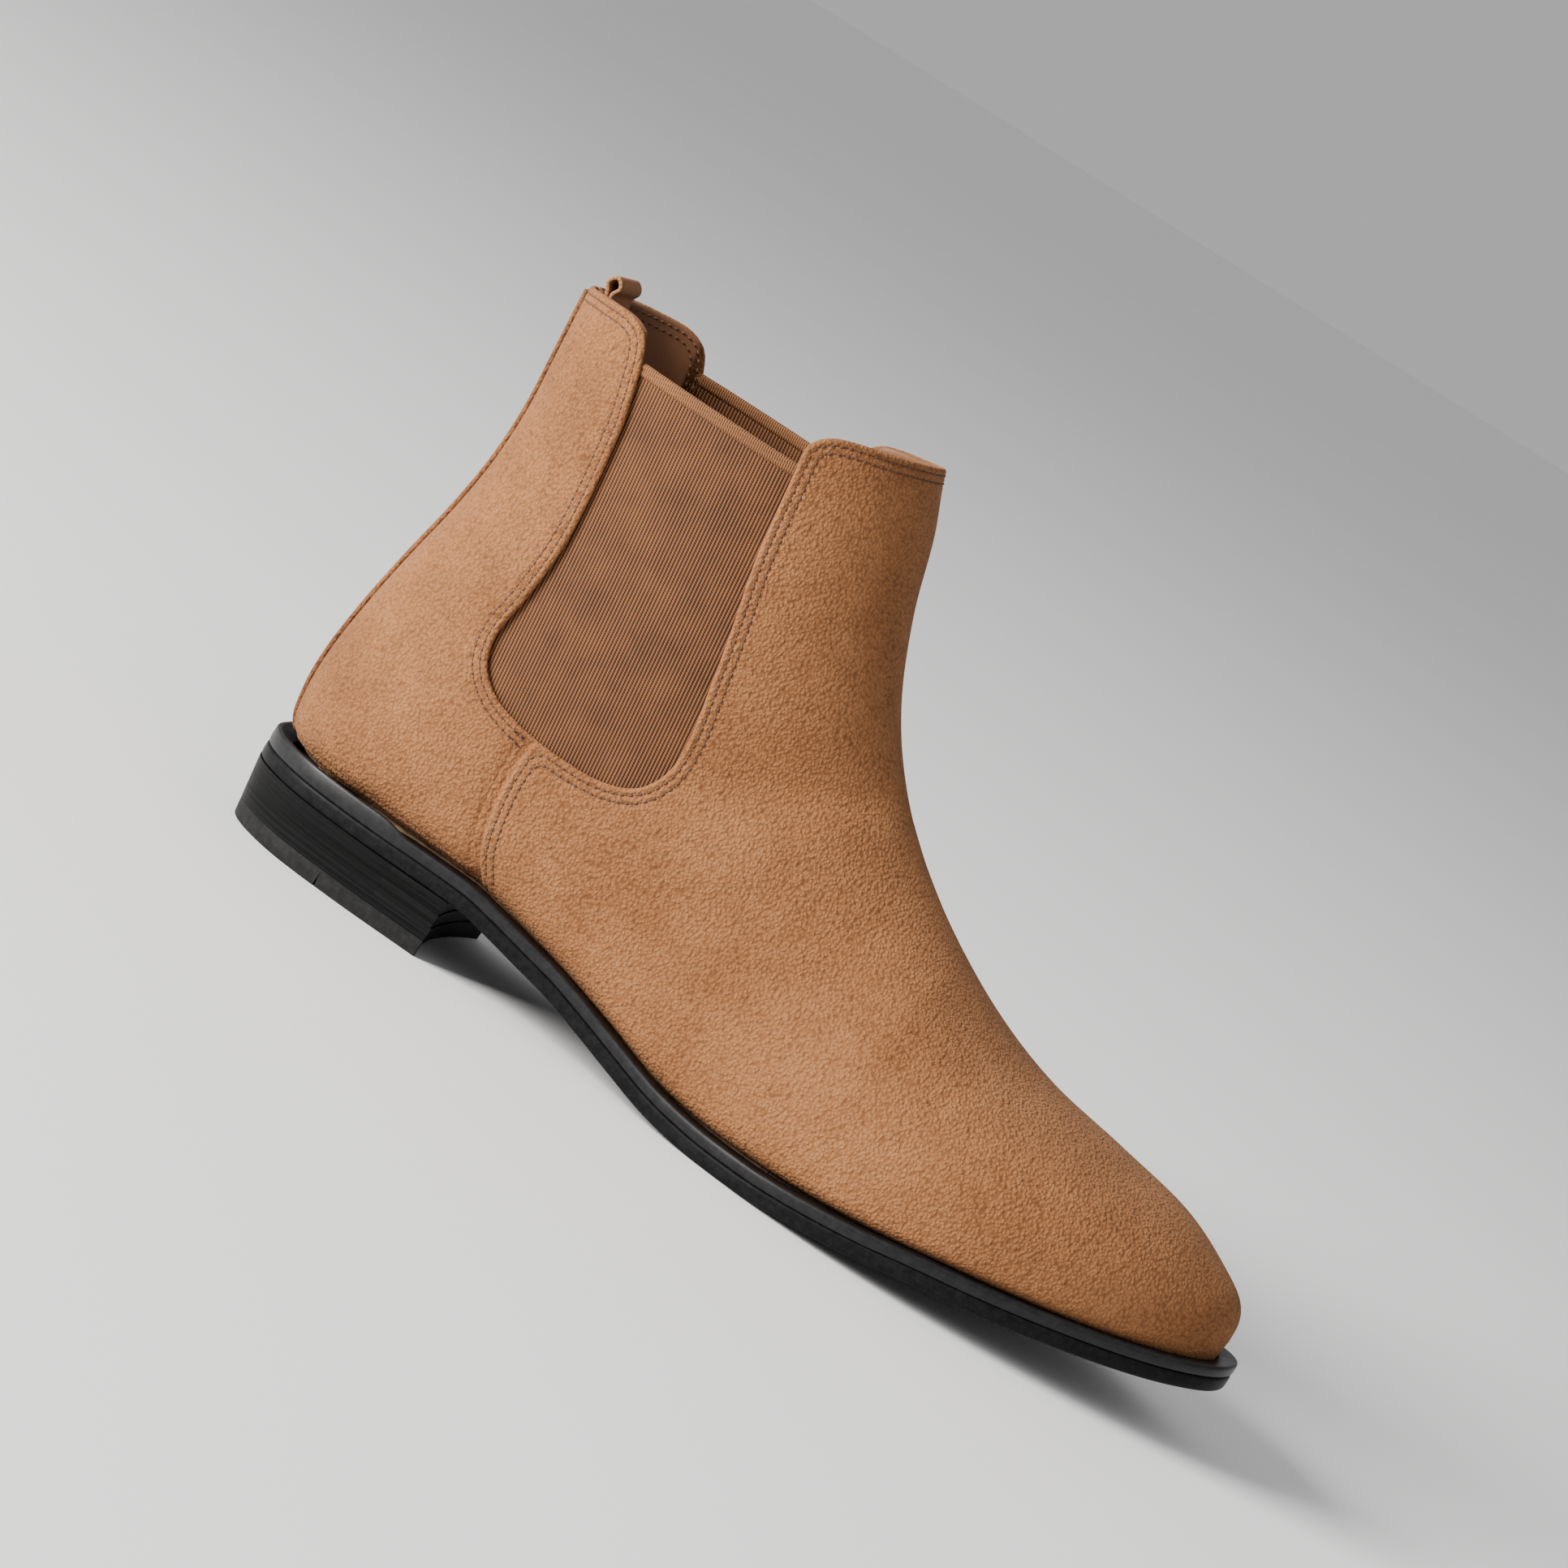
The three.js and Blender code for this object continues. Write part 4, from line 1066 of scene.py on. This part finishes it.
soleEdge = {"stations": 150, "cap": 12, "rim": 1.6, "rimFrom": -32.0, "rimFull": -35.5, "gap": 0.12}


def outlineAt(inset):
    # the sole's plan outline moved inwards, as low and high sides at even stations from heel to toe
    ahead_, behind_ = np.roll(solePlan, -1, axis=0), np.roll(solePlan, 1, axis=0)
    run = ahead_ - behind_
    run /= np.linalg.norm(run, axis=1, keepdims=True)
    area = (solePlan[:, 0] * ahead_[:, 1] - ahead_[:, 0] * solePlan[:, 1]).sum()
    moved = solePlan - np.sign(area) * np.column_stack([run[:, 1], -run[:, 0]]) * inset
    first, last = moved[:, 0].argmin(), moved[:, 0].argmax()
    one = np.roll(moved, -first, axis=0)[:(last - first) % len(moved) + 1]
    two = np.roll(moved, -last, axis=0)[:(first - last) % len(moved) + 1][::-1]
    if one[:, 1].mean() > two[:, 1].mean():
        one, two = two, one
    angle = np.linspace(0, math.pi, soleEdge["stations"] + 1)
    x = (one[0, 0] + one[-1, 0]) / 2 - (one[-1, 0] - one[0, 0]) / 2 * np.cos(angle)
    one, two = one[np.argsort(one[:, 0])], two[np.argsort(two[:, 0])]
    return x, np.interp(x, one[:, 0], one[:, 1]), np.interp(x, two[:, 0], two[:, 1])


def ringAt(inset, height):
    x, low, high = outlineAt(inset)
    ring = np.concatenate([np.column_stack([x, low]), np.column_stack([x, high])[-2:0:-1]])
    return np.column_stack([ring, underside(ring[:, 0]) + height(ring[:, 0])])


def capGrid(inset, height):
    x, low, high = outlineAt(inset)
    share = np.linspace(0, 1, soleEdge["cap"] + 1)
    y = low[1:-1, None] + (high - low)[1:-1, None] * share
    xs = np.repeat(x[1:-1, None], len(share), 1)
    return np.stack([xs, y, underside(xs) + height(xs)], -1)


def level(h):
    return lambda x: np.full(np.shape(x), float(h))


def sideFaces(start, count, rings, closed=False):
    polys = []
    for k in range(rings if closed else rings - 1):
        a, b = start + k * count, start + ((k + 1) % rings) * count
        for i in range(count):
            j = (i + 1) % count
            polys.append((a + i, a + j, b + j, b + i))
    return polys


def makeOutsole():
    profile = [(1.0, 0.0), (0.45, 0.12), (0.15, 0.5), (0.03, 1.2), (0.0, 2.2), (0.04, 3.4), (0.14, 3.9),
               (0.42, 4.22)]
    rings = [ringAt(inset, level(h)) for inset, h in profile]
    count, stations = len(rings[0]), soleEdge["stations"]
    points = list(np.vstack(rings))
    polys = sideFaces(0, count, len(rings))
    for ring, (inset, h) in ((0, profile[0]), (len(rings) - 1, profile[-1])):
        grid = capGrid(inset, level(h))
        index = np.zeros(grid.shape[:2], int)
        for r in range(grid.shape[0]):
            for c in range(grid.shape[1]):
                if c == 0:
                    index[r, c] = ring * count + r + 1
                elif c == grid.shape[1] - 1:
                    index[r, c] = ring * count + count - (r + 1)
                else:
                    index[r, c] = len(points)
                    points.append(grid[r, c])
        for r in range(grid.shape[0] - 1):
            for c in range(grid.shape[1] - 1):
                polys.append((index[r, c], index[r, c + 1], index[r + 1, c + 1], index[r + 1, c]))
        for c in range(grid.shape[1] - 1):
            polys.append((ring * count, index[0, c + 1], index[0, c]))
            polys.append((ring * count + stations, index[-1, c], index[-1, c + 1]))
    return outwards(makeMesh("outsole_black", np.array(points) * mm, polys, "outsole_rubber"))


def makeWelt():
    rimEnds = float(along(soleEdge["rimFrom"])), float(along(soleEdge["rimFull"]))

    def rim(x):
        t = np.clip((rimEnds[0] - x) / (rimEnds[0] - rimEnds[1]), 0, 1)
        return soleEdge["rim"] * t * t * (3 - 2 * t)

    low, high = boot["outsole"] + soleEdge["gap"], soleTotal
    profile = [(6.0, level(low)), (0.5, level(low)), (0.16, level(low + 0.3)), (0.02, level(low + 0.9)),
               (0.0, level(high - 1.3)), (0.1, lambda x: high - 0.55 + rim(x) * 0.9),
               (0.3, lambda x: high - 0.18 + rim(x)), (0.62, lambda x: high + rim(x)),
               (1.05, lambda x: high - 0.02 + rim(x)), (1.5, lambda x: high - 0.1 + rim(x) * 0.85),
               (1.85, lambda x: high - 0.14 + rim(x) * 0.1), (6.0, lambda x: high - 0.16 - rim(x) * 0.3)]
    rings = [ringAt(inset, height) for inset, height in profile]
    polys = sideFaces(0, len(rings[0]), len(rings), closed=True)
    return outwards(makeMesh("welt_black", np.vstack(rings) * mm, polys, "welt_black"))


item = makeOutsole()
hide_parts("outsole_rear", "outsole_front")
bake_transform(item)
item = makeWelt()
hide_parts("welt_rear", "welt_front")
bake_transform(item)
print("outsole and welt")

# heel: three lifts and a two-part top piece

heelStack = {"breast": -26.6, "depth": 5.0, "draft": 0.12, "halfWidth": 33.0, "topPiece": 5.0, "lifts": 3,
             "join": -37.8, "groove": 0.012, "edge": 0.07}


def cutAcross(ring, limit, side):
    # the part of a plan outline on one side of a straight cut across the heel
    kept = []
    for a, b in zip(ring, np.roll(ring, -1, axis=0)):
        aKept, bKept = (side * (point[0] - limit) >= 0 for point in (a, b))
        if aKept:
            kept.append(a)
        if aKept != bKept:
            kept.append(a + (b - a) * (limit - a[0]) / (b[0] - a[0]))
    return np.array(kept)


def heelOutline(z, inset, lowX=-400.0, highX=400.0):
    # plan outline at a height: round at the back, hollow at the breast
    breast = float(along(heelStack["breast"]))
    half, hollow = float(across(heelStack["halfWidth"])), heelStack["depth"]
    draft = heelStack["draft"] * (heel - z)
    moved = solePlan.copy()
    moved[:, 0] = breast + (moved[:, 0] - breast) * (1 - draft / (breast + boot["length"] / 2))
    moved[:, 1] *= 1 - draft / half
    radius = (half ** 2 + hollow ** 2) / (2 * hollow)
    centre = breast + radius - hollow
    moved = moved[moved[:, 0] < breast + 12]
    first = np.argmax(np.abs(np.diff(moved[:, 1], append=moved[:1, 1])) > 8)
    moved = np.roll(moved, -first - 1, axis=0)
    front = centre - np.sqrt(np.maximum(radius ** 2 - moved[:, 1] ** 2, 0))
    moved = moved[moved[:, 0] < front - 0.05]
    a, b = moved[-1], moved[0]
    arcY = np.linspace(a[1], b[1], 40)
    arc = np.column_stack([centre - np.sqrt(radius ** 2 - arcY ** 2), arcY])
    ring = np.vstack([moved[1:-1], arc])
    ring = cutAcross(cutAcross(ring, lowX, 1), highX, -1)
    keep = np.linalg.norm(ring - np.roll(ring, 1, axis=0), axis=1) > 0.02
    ring = ring[keep]
    middle = ring.mean(0)
    reach = ring - middle
    return middle + reach * (1 - inset / np.linalg.norm(reach, axis=1, keepdims=True))


def resampled(ring, count):
    closed = np.vstack([ring, ring[:1]])
    run = np.concatenate([[0], np.cumsum(np.linalg.norm(np.diff(closed, axis=0), axis=1))])
    at = np.linspace(0, run[-1], count, endpoint=False)
    return np.column_stack([np.interp(at, run, closed[:, k]) for k in range(2)])


def slab(name, finish, low, high, lowX=-400.0, highX=400.0):
    edge = heelStack["edge"]
    steps = [(low, edge), (low + edge, 0.0), ((low + high) / 2, -0.02), (high - edge, 0.0), (high, edge)]
    base = heelOutline((low + high) / 2, 0.0, lowX, highX)
    rings = []
    for z, inset in steps:
        ring = resampled(heelOutline((low + high) / 2, inset, lowX, highX), 260)
        draft = heelStack["draft"] * ((low + high) / 2 - z)
        middle = base.mean(0)
        reach = ring - middle
        ring = middle + reach * (1 - draft / np.linalg.norm(reach, axis=1, keepdims=True))
        rings.append(np.column_stack([ring, np.full(len(ring), z)]))
    polys = sideFaces(0, 260, len(rings))
    last = (len(rings) - 1) * 260
    polys += [tuple(range(260)), tuple(range(last, last + 260))]
    item = outwards(makeMesh(name, np.vstack(rings) * mm, polys, finish))
    bpy.ops.object.select_all(action="DESELECT")
    bpy.context.view_layer.objects.active = item
    item.select_set(True)
    bpy.ops.object.shade_smooth_by_angle(angle=math.radians(38))
    return item


liftRoom = heel - heelStack["topPiece"]
for k in range(heelStack["lifts"]):
    low = heelStack["topPiece"] + k * liftRoom / heelStack["lifts"]
    high = low + liftRoom / heelStack["lifts"]
    item = slab("heel_lift_stack_" + str(k + 1), "heel_stack", low + heelStack["groove"],
                high - heelStack["groove"])
    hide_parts("heel_lift_" + str(k + 1))
    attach(item, "root")
joinX = float(along(heelStack["join"]))
for label, lowX, highX in (("rear", -400.0, joinX), ("front", joinX + 0.3, 400.0)):
    item = slab("top_piece_" + label + "_black", "top_piece_rubber", 0.0, heelStack["topPiece"] - 0.05,
                lowX, highX)
    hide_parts("top_piece_" + label)
    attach(item, "root")
print("heel")

# pull loop

loop = {"width": 20.0, "thick": 1.2, "base": 173.1, "rise": 5.2, "depth": 5.0, "leg": 13.5, "middle": -136.75}


def makeLoop():
    # one tape: down inside the back, over the top and down again
    half, top = loop["depth"] / 2, loop["base"] + loop["rise"]
    x = loop["middle"]
    inset = loop["thick"] / 2
    line = spline([(x - 0.75, loop["base"] - loop["leg"]), (x - 0.75, loop["base"] - 5), (x - 0.8, loop["base"]),
                   (x - half + inset, loop["base"] + loop["rise"] * 0.42),
                   (x - half * 0.8 + inset, top - 1.6), (x, top - inset), (x + half * 0.8 - inset, top - 1.6),
                   (x + half - inset, loop["base"] + loop["rise"] * 0.42), (x + 0.8, loop["base"]),
                   (x + 0.75, loop["base"] - 5), (x + 0.75, loop["base"] - loop["leg"])], 90)
    run = np.gradient(line, axis=0)
    run /= np.linalg.norm(run, axis=1, keepdims=True)
    out = np.column_stack([-run[:, 1], run[:, 0]])
    length = np.concatenate([[0], np.cumsum(np.linalg.norm(np.diff(line, axis=0), axis=1))])
    w, t = loop["width"] / 2, loop["thick"] / 2
    section = [(-w, 0), (-w + 0.25, -t * 0.8), (-w + 0.8, -t), (0, -t), (w - 0.8, -t), (w - 0.25, -t * 0.8),
               (w, 0), (w - 0.25, t * 0.8), (w - 0.8, t), (0, t), (-w + 0.8, t), (-w + 0.25, t * 0.8)]
    # the tape follows the curve of the back across its width
    points, uv = [], []
    for i, (x0, z0) in enumerate(line):
        inside = np.clip((loop["base"] - z0) / 6, 0, 1)
        for y, d in section:
            bow = 1.35 * (y / w) ** 2 * inside
            points.append((x0 + out[i, 0] * d + bow, y * (1 - 0.02 * inside), z0 + out[i, 1] * d))
            uv.append((y * mm, length[i] * mm))
    count = len(section)
    polys = []
    for i in range(len(line) - 1):
        for j in range(count):
            k = (j + 1) % count
            polys.append((i * count + j, i * count + k, (i + 1) * count + k, (i + 1) * count + j))
    polys += [tuple(range(count)), tuple(range((len(line) - 1) * count, len(line) * count))]
    item = makeMesh("pull_loop_tape", np.array(points) * mm, polys, "webbing", uv=np.array(uv))
    work = bmesh.new()
    work.from_mesh(item.data)
    bmesh.ops.recalc_face_normals(work, faces=work.faces)
    work.to_mesh(item.data)
    work.free()
    return item


item = makeLoop()
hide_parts("pull_tab", "pull_tab_anchor")
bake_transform(item)
print("pull loop")

# inside of the bottom: copies of the rear and front sheets, merged and smooth-shaded


def softCopy(node, name):
    source = frame["nodes"][node]
    item = bpy.data.objects.new(name, source.data.copy())
    bpy.context.scene.collection.objects.link(item)
    item.data.name = name
    work = bmesh.new()
    work.from_mesh(item.data)
    bmesh.ops.remove_doubles(work, verts=work.verts, dist=1e-6)
    bmesh.ops.dissolve_limit(work, angle_limit=math.radians(0.5), verts=work.verts, edges=work.edges)
    work.to_mesh(item.data)
    work.free()
    bpy.ops.object.select_all(action="DESELECT")
    bpy.context.view_layer.objects.active = item
    item.select_set(True)
    bpy.ops.object.shade_smooth_by_angle(angle=math.radians(40))
    return item


for node, slotName in (("cork_filler", "cork"), ("insole_board", "insole_board"),
                       ("sock_liner", "sock_leather")):
    for end in ("rear", "front"):
        item = softCopy(node + "_" + end, node + "_" + end + "_soft")
        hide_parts(node + "_" + end)
        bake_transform(item)
print("inside of the bottom")
